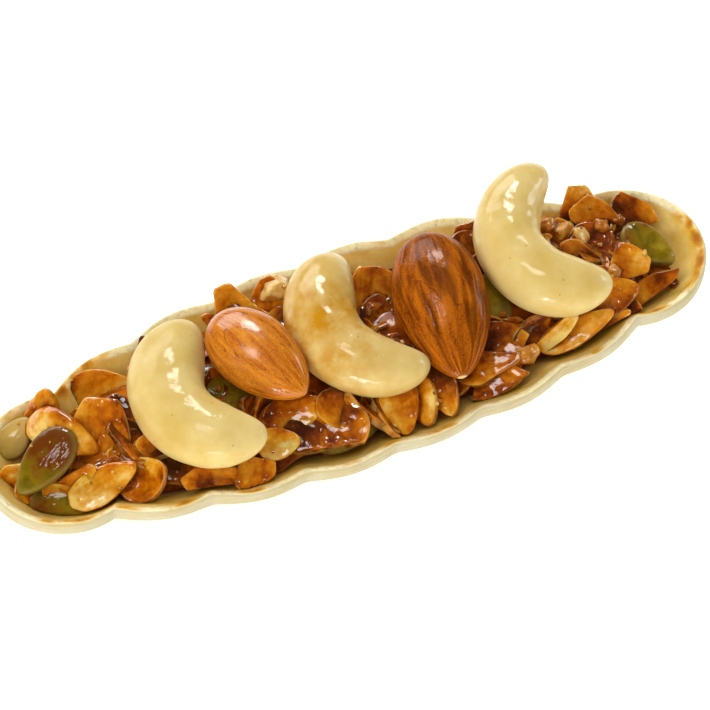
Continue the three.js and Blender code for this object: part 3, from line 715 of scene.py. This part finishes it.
def add_seed(bodies, one, number):
    along, across, side, share = plate_spots(round_outline())
    flat = np.stack([along * one["length"] / 2, across * one["width"] / 2, 0 * along], axis=1)
    dome = SEED_DOME * (1 - share**2) ** DOME_POWER
    ridge = SEED_RIDGE * np.exp(-(((share - RIDGE_AT) / RIDGE_WIDTH) ** 2))
    creases = flat * np.array((WRINKLE_STRETCH, 1, 1))
    wrinkle = SEED_WRINKLE * wander(creases, WRINKLE_LUMP, number) * (1 - share**EDGE_POWER)
    thick = SEED_THICKNESS / 2 + dome + ridge + wrinkle
    local = flat + np.stack([0 * along, 0 * along, side * thick], axis=1)
    brown = one["brown"] - BROWN_RUN * along
    rim = smooth_step(*SEED_RIM, share)
    put_in_heap(bodies, one, number, local, PLATE_FACES, edge=rim, brown=brown)


BIT_FACES = ring_faces(BIT_ALONG - 1, BIT_AROUND)


def ball_spots(around, along):
    """Unit ball as a pole, rings and a pole: the share along from -1 to 1 and the angle round it."""
    share = -np.cos(np.pi * np.arange(1, along) / along)
    angle = np.linspace(0, 2 * np.pi, around, endpoint=False)
    shares = np.concatenate([[-1], np.repeat(share, around), [1]])
    angles = np.concatenate([[0], np.tile(angle, along - 1), [0]])
    return shares, angles


def ways_around(count, first=0.0):
    """Directions spread evenly over the ball along a spiral."""
    height = 1 - 2 * (np.arange(count) + 0.5) / count
    angle = 2 * np.pi * GOLDEN_SHARE * np.arange(count) + first
    ring = np.sqrt(1 - height**2)
    return np.stack([ring * np.cos(angle), ring * np.sin(angle), height], axis=1)


def add_bit(bodies, one, number):
    """A chopped nut: a ball cut flat on several sides."""
    share, angle = ball_spots(BIT_AROUND, BIT_ALONG)
    ring = np.sqrt(1 - share**2)
    ball = np.stack([ring * np.cos(angle), ring * np.sin(angle), share], axis=1)
    for facet, way in enumerate(ways_around(BIT_FACETS, number)):
        reach = lerp(*FACET_REACH, (number + facet) * GOLDEN_SHARE % 1)
        ball = ball - np.maximum(ball @ way - reach, 0)[:, None] * way
    swell = 1 + BIT_UNEVEN * wander(ball, BIT_LUMP, number)
    local = ball * swell[:, None] * np.array(BIT_SHAPE) * one["size"] / 2
    tone = np.full(len(local), one["tone"])
    put_in_heap(bodies, one, number, local, BIT_FACES, tone=tone)


def seeded_draw(state):
    """A function that draws evenly spread numbers between two limits, the same ones each time."""
    def draw(low, high):
        nonlocal state
        state = state * DRAW_FACTOR % DRAW_LIMIT
        return lerp(low, high, state / DRAW_LIMIT)

    return draw


def filler_slices():
    """Slices between the shown ones, spread along the heap; the last of them on the far side."""
    draw = seeded_draw(FILLER_SEED)
    found = []
    for i in range(FILLER_FLAKES + FAR_FLAKES):
        x = lerp(-FILLER_REACH, FILLER_REACH, (i + 1) * GOLDEN_SHARE % 1)
        side = draw(-FILLER_SPREAD if i < FILLER_FLAKES else FAR_FROM, FILLER_SPREAD)
        edge = heap_edge(x, np.sign(side))
        y = side * (notch_half_width(x) - float(inner_inset(edge)))
        top = float(heap_height(edge, heap_crown(x), 1 - abs(side)))
        turn = (draw(0, 360), draw(-FILLER_TIP, FILLER_TIP), draw(-FILLER_ROLL, FILLER_ROLL))
        place = (x, y, top - RIM_HEIGHT + FILLER_LIFT)
        size = (draw(*FILLER_LENGTHS), draw(*FILLER_WIDTHS), FLAKE_THICKNESS)
        found.append(slice_at(place, size, turn, tone=FILLER_TONE))
    return found


def caramel_mesh(parts):
    """Caramel that fills the creases between the pieces: their joined skin, eased and sunk a little."""
    joined = Bodies(parts)
    block = bpy.data.objects.new("caramel_block", joined.mesh("caramel_block"))
    bpy.context.collection.objects.link(block)
    remesh = block.modifiers.new("skin", "REMESH")
    remesh.mode = "VOXEL"
    remesh.voxel_size = CARAMEL_VOXEL * MM
    ease = block.modifiers.new("ease", "SMOOTH")
    ease.factor = CARAMEL_EASE
    ease.iterations = CARAMEL_SMOOTHING
    skin = bpy.data.meshes.new_from_object(block.evaluated_get(bpy.context.evaluated_depsgraph_get()))
    bpy.data.objects.remove(block)
    spots = np.array([vertex.co for vertex in skin.vertices]) / MM
    normals = np.array([vertex.normal for vertex in skin.vertices])
    spots = spots - normals * CARAMEL_SINK
    skin.vertices.foreach_set("co", (spots * MM).ravel())
    skin.materials.clear()
    skin.shade_smooth()
    add_values(skin, "local", spots)
    return skin


def skin_tree(parts):
    """Search tree over the skins of several bodies, in millimetres."""
    joined = Bodies(parts)
    return BVHTree.FromPolygons(joined.all_spots().tolist(), joined.faces)


def open_place(ground, cover, draw):
    """A place on the ground that is seen from above, clear of the cover."""
    down = Vector((0, 0, -1))
    while True:
        x = draw(-FALL_REACH, FALL_REACH)
        y = draw(-NOTCH_HALF_WIDTH, NOTCH_HALF_WIDTH)
        above = Vector((x, y, FALL_HEIGHT))
        spot = ground.ray_cast(above, down)[0]
        if spot is not None and cover.ray_cast(above, down)[0] is None:
            return spot


def crumbs_on(heap, nuts):
    draw = seeded_draw(CRUMB_SEED)
    found = []
    for _ in range(CRUMBS):
        spot = open_place(heap, nuts, draw)
        size = lerp(*CRUMB_SIZES, draw(0, 1) ** 2)
        place = (spot.x, spot.y, spot.z - RIM_HEIGHT + size * CRUMB_LIFT)
        found.append(bit_at(place, size, draw(0, 360), draw(*CRUMB_TONES)))
    return found


def shards_on(core, cover):
    draw = seeded_draw(SHARD_SEED)
    found = []
    for _ in range(SHARDS):
        spot = open_place(core, cover, draw)
        place = (spot.x, spot.y, spot.z - RIM_HEIGHT + SHARD_LIFT)
        size = (draw(*SHARD_LENGTHS), draw(*SHARD_WIDTHS), SHARD_THICKNESS)
        turn = (draw(0, 360), draw(-SHARD_TIP, SHARD_TIP), draw(-SHARD_ROLL, SHARD_ROLL))
        found.append(slice_at(place, size, turn, SHARD_BEND, tone=draw(*SHARD_TONES)))
    return found


def add_each(bodies, add_one, found, first=1):
    for number, one in enumerate(found, first):
        add_one(bodies, one, number)


def build_filling(caramel, flake, seed, bit, nuts):
    slices = SHOWN_SLICES + filler_slices()
    flakes = Bodies()
    seeds = Bodies()
    bits = Bodies()
    add_each(flakes, add_flake, slices)
    add_each(seeds, add_seed, PUMPKIN_SEEDS)
    add_each(bits, add_bit, NUT_BITS)
    core = heap_core()
    pieces = [(group.all_spots(), group.faces) for group in (flakes, seeds, bits)]
    skin = caramel_mesh([core] + pieces)
    crumbs = crumbs_on(skin_tree([core] + pieces), skin_tree(nuts))
    shards = shards_on(skin_tree([core]), skin_tree(pieces + nuts))
    add_each(bits, add_bit, crumbs, len(NUT_BITS) + 1)
    add_each(flakes, add_flake, shards, len(slices) + 1)
    node = ["nut_filling"]
    return [
        add_piece("caramel", skin, caramel, node),
        add_piece("almond_flakes", flakes.mesh("almond_flakes"), flake, node),
        add_piece("pumpkin_seeds", seeds.mesh("pumpkin_seeds"), seed, node),
        add_piece("nut_bits", bits.mesh("nut_bits"), bit, node),
    ]


def mesh_spots(mesh):
    spots = np.empty(3 * len(mesh.vertices))
    mesh.vertices.foreach_get("co", spots)
    return spots.reshape(-1, 3)


def mesh_faces(mesh):
    return [tuple(face.vertices) for face in mesh.polygons]


def add_cover_shade(pieces, cover):
    """Store for each vertex how deep it lies: the share of the ways out that something covers. The materials
    darken with it as painted shade, and the wafer's wall also takes caramel by it.
    """
    tree = skin_tree([(mesh_spots(piece.data) / MM, mesh_faces(piece.data)) for piece in cover])
    ways = [Vector(way) for way in ways_around(DEPTH_WAYS)]
    for piece in pieces:
        cover_shade = []
        for vertex in piece.data.vertices:
            out = vertex.normal
            start = vertex.co / MM + out * DEPTH_LIFT
            hits = 0
            for way in ways:
                free = way if way.dot(out) > 0 else -way
                hits += tree.ray_cast(start, free, DEPTH_REACH)[0] is not None
            cover_shade.append(hits / DEPTH_WAYS)
        add_values(piece.data, "cover_shade", np.array(cover_shade))


# Whole nuts
NUT_FACES = ring_faces(NUT_ALONG - 1, NUT_AROUND)


def tube_spots(share, angle, stretch):
    """Places on a tube for the noise of a nut, so that its pattern runs along the nut."""
    return np.stack([np.cos(angle), np.sin(angle), share * stretch], axis=1)


def add_nut(one, slot, local, seed, material, **values):
    """Set a nut down in its place, as a piece of its own."""
    name = one["node"] + "_nut"
    nut = Bodies()
    spots = set_down(local, one["place"], one["turn"])
    nut.add(spots, NUT_FACES, local=local + PATTERN_STEP * seed, **values)
    return add_piece(name, nut.mesh(name), material, [one["node"]])


def build_cashew(one, seed, material):
    """A cashew bent along an arc that opens towards its own +Y; the taper makes its first end blunter."""
    share, angle = ball_spots(NUT_AROUND, NUT_ALONG)
    fullness = np.sqrt(1 - np.abs(share) ** CASHEW_POWER) * (1 - one["taper"] * share)
    tube = tube_spots(share, angle, CASHEW_STRETCH)
    swell = 1 + CASHEW_SWELL * wander(tube, SWELL_LUMP, seed)
    swell = swell + CASHEW_DENT * wander(tube, DENT_LUMP, seed + 0.5)
    hollow = np.exp(-(((angle - np.pi) / HOLLOW_SPREAD) ** 2)) * np.exp(-((share / HOLLOW_SPREAD) ** 2))
    swell = swell - HOLLOW_DEPTH * hollow
    turn = math.radians(one["sweep"]) / 2 * share
    radius = one["bend"] + np.cos(angle) * fullness * swell * one["width"] / 2
    up = np.sin(angle) * fullness * swell * one["thickness"] / 2
    local = np.stack([radius * np.sin(turn), one["bend"] - radius * np.cos(turn), up], axis=1)
    middle = np.exp(-(((share - TOAST_MIDDLE) / TOAST_SPREAD) ** 2))
    mottle = np.clip(TOAST_LEVEL + TOAST_MOTTLE * wander(local, TOAST_LUMP, seed + 2), 0, 1)
    return add_nut(one, "cashew", local, seed, material, toast=one["toast"] * middle * mottle)


def build_almond(one, seed, material):
    """An almond along its own X: round at the start, drawn to a point at the tip."""
    def swelling(share):
        return (1 + share) ** ALMOND_BUTT_POWER * (1 - share) ** ALMOND_TIP_POWER

    share, angle = ball_spots(NUT_AROUND, NUT_ALONG)
    widest = (ALMOND_BUTT_POWER - ALMOND_TIP_POWER) / (ALMOND_BUTT_POWER + ALMOND_TIP_POWER)
    fullness = swelling(share) / swelling(widest)
    grain = tube_spots(share, angle, GRAIN_STRETCH)
    furrow = wander(grain, FURROW_LUMP, seed) * smooth_step(0, FURROW_WHOLE, fullness)
    soft = wander(tube_spots(share, angle, ALMOND_STRETCH), ALMOND_LUMP, seed + 2)
    out = fullness + (one["ridge"] * furrow + ALMOND_SWELL * soft * fullness) / (one["width"] / 2)
    local = np.stack([
        one["length"] / 2 * share,
        np.cos(angle) * out * one["width"] / 2,
        np.sin(angle) * out * one["thickness"] / 2,
    ], axis=1)
    dark = np.full(len(share), one["dark"])
    return add_nut(
        one, "almond", local, seed, material,
        grain=grain + GRAIN_STEP * seed, share=share, furrow=furrow, dark=dark,
    )


# Materials
def tint(red, green, blue):
    """A colour given as display values from 0 to 255, as the shaders take it."""
    shares = np.array((red, green, blue)) / 255
    light = np.where(shares <= 0.04045, shares / 12.92, ((shares + 0.055) / 1.055) ** 2.4)
    return (*light.tolist(), 1)


class Tree:
    """A material's node tree, with short calls for the nodes that are used here."""

    def __init__(self, name):
        self.material = bpy.data.materials.new(name)
        self.material.use_nodes = True
        self.nodes = self.material.node_tree.nodes
        self.links = self.material.node_tree.links

    def put(self, socket, value):
        if isinstance(value, bpy.types.NodeSocket):
            self.links.new(value, socket)
        else:
            socket.default_value = value

    def add(self, kind, inputs, **settings):
        node = self.nodes.new(kind)
        for key, value in settings.items():
            setattr(node, key, value)
        for key, value in inputs.items():
            self.put(node.inputs[key], value)
        return node

    def value(self, name):
        return self.add("ShaderNodeAttribute", {}, attribute_name=name).outputs["Fac"]

    def vector(self, name, stretch=(1, 1, 1)):
        place = self.add("ShaderNodeAttribute", {}, attribute_name=name).outputs["Vector"]
        return self.add("ShaderNodeVectorMath", {0: place, 1: stretch}, operation="MULTIPLY").outputs[0]

    def noise(self, place, lump, detail=3.0, roughness=0.55):
        inputs = {"Vector": place, "Scale": 1 / lump, "Detail": detail, "Roughness": roughness}
        return self.add("ShaderNodeTexNoise", inputs).outputs["Fac"]

    def cells(self, place, lump):
        inputs = {"Vector": place, "Scale": 1 / lump}
        return self.add("ShaderNodeTexVoronoi", inputs).outputs["Distance"]

    def between(self, value, low, high):
        """0 below low, 1 above high, and an even rise in between."""
        inputs = {"Value": value, "From Min": low, "From Max": high}
        return self.add("ShaderNodeMapRange", inputs).outputs["Result"]

    def math(self, operation, first, second=0.0):
        return self.add("ShaderNodeMath", {0: first, 1: second}, operation=operation).outputs[0]

    def plus(self, first, second):
        return self.math("ADD", first, second)

    def minus(self, first, second):
        return self.math("SUBTRACT", first, second)

    def times(self, first, second):
        return self.math("MULTIPLY", first, second)

    def mix(self, share, first, second):
        return self.add("ShaderNodeMix", {0: share, 6: first, 7: second}, data_type="RGBA").outputs[2]

    def ramp(self, share, *stops):
        node = self.add("ShaderNodeValToRGB", {"Fac": share})
        spots = node.color_ramp.elements
        while len(spots) < len(stops):
            spots.new(1.0)
        for spot, (position, colour) in zip(spots, stops):
            spot.position = position
            spot.color = colour
        return node.outputs["Color"]

    def bump(self, height, distance, under=None):
        inputs = {"Height": height, "Distance": distance * MM}
        if under is not None:
            inputs["Normal"] = under
        return self.add("ShaderNodeBump", inputs).outputs["Normal"]

    def finish(self, **sockets):
        surface = self.nodes["Principled BSDF"]
        for key, value in sockets.items():
            self.put(surface.inputs[key.replace("_", " ")], value)
        return self.material


def wafer_material():
    tree = Tree("baked_wafer")
    place = tree.vector("local")
    cloud = tree.noise(place, 4.0, 4)
    grain = tree.noise(place, 0.35, 3, 0.7)
    inside = tree.value("inside")
    cover_shade = tree.value("cover_shade")
    pale = tree.mix(tree.between(cloud, 0.35, 0.7), tint(206, 197, 166), tint(198, 184, 140))
    wall = tree.mix(tree.between(cloud, 0.35, 0.65), tint(236, 206, 118), tint(222, 180, 78))
    # Golden caramel on the inner wall where the heap covers it, laid by the cover share, so it is also
    # painted shade there; the same share gives the coat its weight
    sticky_and_shade = tree.times(inside, tree.between(cover_shade, 0.3, 0.8))
    wall = tree.mix(sticky_and_shade, wall, tint(222, 174, 54))
    streak = tree.between(tree.noise(tree.vector("local", (0.08, 0.08, 1)), 0.5, 2), 0.48, 0.62)
    pale = tree.mix(tree.times(streak, 0.45), pale, tint(202, 176, 102))
    plain = tree.mix(inside, pale, wall)
    # The rim's top band made paler: its own pale crumb, brightened further as painted light on the top of
    # the rim
    crust = tree.times(tree.value("crust"), tree.between(tree.noise(place, 0.9, 3), 0.2, 0.48))
    plain = tree.mix(crust, plain, tint(254, 240, 192))
    plain = tree.mix(tree.times(tree.between(grain, 0.5, 0.7), 0.3), plain, tint(222, 186, 104))
    patch = tree.times(tree.value("toast"), tree.between(tree.noise(place, 2.4, 3, 0.5), 0.2, 0.6))
    toasted = tree.mix(tree.between(patch, 0.08, 0.4), plain, tint(226, 174, 54))
    colour = tree.mix(tree.between(patch, 0.35, 0.75), toasted, tint(180, 106, 10))
    normal = tree.bump(grain, 0.05, tree.bump(tree.noise(place, 1.3, 3), 0.12))
    return tree.finish(
        Base_Color=colour, Roughness=0.55, Normal=normal, Specular_IOR_Level=0.3,
        Coat_Weight=sticky_and_shade, Coat_Roughness=0.1,
        Subsurface_Weight=0.3, Subsurface_Radius=(1.0, 0.9, 0.5), Subsurface_Scale=0.0015,
    )


def glazed(tree, colour, normal, gloss, blur, glow):
    """Finish under a clear coat that follows the bumps; glow is the light that passes through."""
    weight, radius, scale = glow
    return tree.finish(
        Base_Color=colour, Normal=normal, Roughness=0.45, Specular_IOR_Level=0.03,
        Coat_Normal=normal, Coat_Weight=gloss, Coat_Roughness=blur, Coat_IOR=1.5,
        Subsurface_Weight=weight, Subsurface_Radius=radius, Subsurface_Scale=scale,
    )


def flake_material():
    tree = Tree("glazed_almond_flake")
    place = tree.vector("local")
    cloud = tree.minus(tree.noise(place, 3.4, 3, 0.5), 0.5)
    mottle = tree.minus(tree.noise(place, 0.9, 3, 0.6), 0.5)
    grain = tree.noise(tree.vector("local", (0.2, 1, 1)), 0.5, 3)
    tone = tree.plus(tree.value("tone"), tree.times(cloud, 1.25))
    tone = tree.plus(tone, tree.times(mottle, 0.45))
    tone = tree.plus(tone, tree.times(tree.minus(grain, 0.5), 0.3))
    # Darker where other pieces cover the flake: painted shade in the heap's gaps
    cover_shade = tree.between(tree.value("cover_shade"), 0.25, 0.9)
    tone = tree.plus(tone, tree.times(cover_shade, 0.55))
    body = tree.ramp(
        tone,
        (0.0, tint(244, 204, 112)), (0.25, tint(226, 154, 30)), (0.5, tint(196, 106, 2)),
        (0.75, tint(132, 56, 0)), (1.0, tint(76, 28, 0)),
    )
    bare = tree.times(tree.value("edge"), tree.between(tree.noise(place, 1.5), 0.38, 0.56))
    colour = tree.mix(tree.times(bare, 0.55), body, tint(226, 172, 84))
    bubbles = tree.bump(tree.between(tree.cells(place, 1.5), 0.3, 0.0), 0.14, tree.bump(grain, 0.03))
    normal = tree.bump(tree.noise(place, 2.4, 1), 0.3, bubbles)
    return glazed(tree, colour, normal, 1.0, 0.05, glow=(0.4, (1.0, 0.45, 0.08), 0.0016))


def caramel_material():
    tree = Tree("caramel")
    place = tree.vector("local")
    # Darker where the caramel is covered: painted shade in the creases between pieces
    tone = tree.plus(tree.noise(place, 2.2, 4), tree.times(tree.value("cover_shade"), -0.35))
    colour = tree.ramp(tone, (0.1, tint(126, 52, 0)), (0.35, tint(166, 80, 0)), (0.6, tint(208, 118, 8)))
    bubbles = tree.bump(tree.between(tree.cells(place, 1.2), 0.3, 0.0), 0.08)
    normal = tree.bump(tree.noise(place, 2.0, 1), 0.2, bubbles)
    return glazed(tree, colour, normal, 0.35, 0.08, glow=(0.5, (1.0, 0.4, 0.05), 0.002))


def seed_material():
    tree = Tree("glazed_pumpkin_seed")
    place = tree.vector("local")
    cloud = tree.noise(place, 2.2, 4)
    green = tree.ramp(cloud, (0.3, tint(84, 68, 2)), (0.55, tint(140, 114, 10)), (0.75, tint(176, 146, 44)))
    brown = tree.value("brown")
    smear = tree.plus(brown, tree.times(tree.minus(cloud, 0.55), 1.6))
    colour = tree.mix(tree.between(smear, 0.35, 0.8), green, tint(106, 50, 0))
    colour = tree.mix(tree.between(brown, 0.0, -1.0), colour, tint(198, 162, 88))
    colour = tree.mix(tree.times(tree.value("edge"), 0.4), colour, tint(150, 136, 66))
    # Towards dark brown where the seed is covered: painted shade
    dark = tree.times(tree.between(tree.value("cover_shade"), 0.3, 0.9), 0.4)
    colour = tree.mix(dark, colour, tint(50, 26, 4))
    creases = tree.noise(tree.vector("local", (0.4, 1, 1)), 0.9, 2)
    normal = tree.bump(creases, 0.14)
    return glazed(tree, colour, normal, 0.6, 0.05, glow=(0.15, (0.6, 0.8, 0.2), 0.001))


def bit_material():
    tree = Tree("glazed_nut_bit")
    place = tree.vector("local")
    tone = tree.plus(tree.value("tone"), tree.minus(tree.noise(place, 1.5, 4), 0.5))
    # Darker where the bit is covered: painted shade
    tone = tree.plus(tone, tree.times(tree.between(tree.value("cover_shade"), 0.2, 0.8), 0.4))
    colour = tree.ramp(
        tone,
        (0.0, tint(238, 204, 124)), (0.3, tint(214, 152, 58)),
        (0.6, tint(164, 88, 14)), (1.0, tint(84, 36, 2)),
    )
    normal = tree.bump(tree.noise(place, 0.9, 2), 0.25)
    return glazed(tree, colour, normal, 0.9, 0.05, glow=(0.25, (1.0, 0.6, 0.25), 0.001))


def cashew_material(shine):
    tree = Tree("glazed_cashew")
    place = tree.vector("local")
    cloud = tree.noise(place, 5.0, 4)
    cream = tree.mix(tree.between(cloud, 0.35, 0.7), tint(230, 206, 136), tint(216, 184, 100))
    brown = tree.times(tree.value("toast"), tree.between(tree.noise(place, 2.4, 4, 0.6), 0.25, 0.6))
    toasted = tree.mix(brown, cream, tint(202, 140, 14))
    speck = tree.between(tree.cells(place, 2.6), 0.07, 0.03)
    colour = tree.mix(tree.times(speck, 0.45), toasted, tint(140, 84, 34))
    fine = tree.bump(tree.noise(place, 0.5, 3, 0.6), 0.02)
    normal = tree.bump(tree.noise(place, 3.6, 2), 0.18, fine)
    return glazed(tree, colour, normal, shine, 0.06, glow=(0.35, (1.0, 0.7, 0.35), 0.002))


def almond_material(shine, blur):
    tree = Tree("glazed_almond")
    grain = tree.vector("grain")
    place = tree.vector("local")
    dark = tree.value("dark")
    streak = tree.noise(grain, 0.15, 2, 0.5)
    speckle = tree.noise(place, 0.26, 2, 0.6)
    shade = tree.plus(tree.times(streak, 0.6), tree.times(speckle, 0.4))
    light = tree.mix(tree.between(shade, 0.36, 0.64), tint(182, 88, 8), tint(232, 147, 38))
    deep = tree.mix(tree.between(shade, 0.36, 0.64), tint(120, 52, 0), tint(196, 106, 14))
    # Darker in the furrows of a brown almond: painted shade in its grooves
    furrow_shade = tree.times(dark, tree.between(tree.value("furrow"), -0.05, -0.35))
    deep = tree.mix(tree.times(furrow_shade, 0.6), deep, tint(82, 34, 0))
    skin = tree.mix(dark, light, deep)
    band = tree.math("ABSOLUTE", tree.minus(tree.noise(grain, 0.3, 2, 0.5), 0.5))
    vein = tree.times(tree.between(band, 0.012, 0.004), 0.6)
    colour = tree.mix(vein, skin, tint(84, 34, 8))
    chip = tree.between(tree.times(tree.value("share"), dark), 0.975, 0.985)
    colour = tree.mix(chip, colour, tint(238, 206, 140))
    fine = tree.bump(speckle, 0.02)
    rough = tree.times(streak, tree.plus(tree.times(dark, 0.85), 0.15))
    normal = tree.bump(tree.noise(place, 2.5, 2), 0.1, tree.bump(rough, 0.07, fine))
    return glazed(tree, colour, normal, shine, blur, glow=(0.1, (1.0, 0.5, 0.2), 0.001))


def floor_material():
    tree = Tree("pale_floor")
    place = tree.add("ShaderNodeTexCoord", {}).outputs["Object"]
    colour = tree.ramp(tree.noise(place, 0.4), (0.3, (0.9, 0.9, 0.9, 1)), (0.7, (0.92, 0.92, 0.92, 1)))
    return tree.finish(
        Base_Color=colour, Roughness=0.9, Specular_IOR_Level=0.1,
        Emission_Color=(1, 1, 1, 1), Emission_Strength=FLOOR_GLOW,
    )


# Stage: floor, lights and camera
def toward(azimuth, elevation):
    """Direction from the boat to a viewer or a light; azimuth 0 is the side of -Y."""
    turn = math.radians(azimuth)
    rise = math.radians(elevation)
    return Vector((math.sin(turn) * math.cos(rise), -math.cos(turn) * math.cos(rise), math.sin(rise)))


def build_floor():
    corners = [(x * STAGE_HALF, y * STAGE_HALF, 0) for x, y in ((-1, -1), (1, -1), (1, 1), (-1, 1))]
    mesh = bpy.data.meshes.new("floor")
    mesh.from_pydata(corners, [], [(0, 1, 2, 3)])
    mesh.materials.append(floor_material())
    floor = bpy.data.objects.new("floor", mesh)
    bpy.context.collection.objects.link(floor)


def add_softbox(name, azimuth, elevation, distance, size, power, glossy=True, diffuse=True):
    light = bpy.data.lights.new(name, "AREA")
    light.shape = "RECTANGLE"
    light.size, light.size_y = size
    light.energy = power
    lamp = bpy.data.objects.new(name, light)
    way = toward(azimuth, elevation)
    lamp.location = way * distance
    lamp.rotation_euler = way.to_track_quat("Z", "Y").to_euler()
    lamp.visible_camera = False
    lamp.visible_glossy = glossy
    lamp.visible_diffuse = diffuse
    bpy.context.collection.objects.link(lamp)


def build_lights():
    add_softbox("back_box", -176, 33, 0.8, (0.6, 0.42), 4.0)
    add_softbox("top_box", -80, 78, 0.8, (0.18, 0.18), 1.1, diffuse=False)
    add_softbox("shine_box", 154, 52, 0.8, (0.22, 0.18), 3.6, diffuse=False)
    add_softbox("right_box", 88, 12, 0.8, (0.25, 0.3), 1.6)
    add_softbox("front_strip", -34, 2.5, 0.6, (0.25, 0.03), 1.0)
    add_softbox("left_fill", -80, 40, 0.9, (0.3, 0.42), 2.4, glossy=False)
    add_softbox("front_fill", -15, 38, 1.0, (0.9, 0.7), 2.2, glossy=False)
    add_softbox("top_fill", 0, 85, 1.0, (0.9, 0.9), 4.2, glossy=False)
    world = bpy.data.worlds.new("studio")
    world.use_nodes = True
    sky = world.node_tree.nodes["Background"].inputs
    sky["Color"].default_value = (1, 1, 1, 1)
    sky["Strength"].default_value = WORLD_LIGHT
    bpy.context.scene.world = world
    bpy.context.scene.view_settings.view_transform = "Standard"


def build_camera():
    back = toward(VIEW_AZIMUTH, VIEW_ELEVATION)
    right = Vector((0, 0, 1)).cross(back).normalized()
    up = back.cross(right)
    target = Vector((0, 0, RIM_HEIGHT)) + right * VIEW_RIGHT + up * VIEW_UP
    data = bpy.data.cameras.new("camera")
    data.sensor_width = SENSOR
    data.lens = LENS
    camera = bpy.data.objects.new("camera", data)
    camera.location = (target + back * VIEW_DISTANCE) * MM
    camera.rotation_euler = back.to_track_quat("Z", "Y").to_euler()
    bpy.context.collection.objects.link(camera)
    bpy.context.scene.camera = camera


def main():
    build_camera()
    build_floor()
    build_lights()
    shell = build_shell(wafer_material())
    nuts = []
    for number, one in enumerate(CASHEWS, 1):
        nuts.append(build_cashew(one, number, cashew_material(one["shine"])))
    for number, one in enumerate(ALMONDS, 1):
        nuts.append(build_almond(one, number, almond_material(one["shine"], one["blur"])))
    nut_skins = [(mesh_spots(nut.data) / MM, NUT_FACES) for nut in nuts]
    filling = build_filling(caramel_material(), flake_material(), seed_material(), bit_material(), nut_skins)
    add_cover_shade([shell] + filling, [shell] + filling[1:] + nuts)


main()
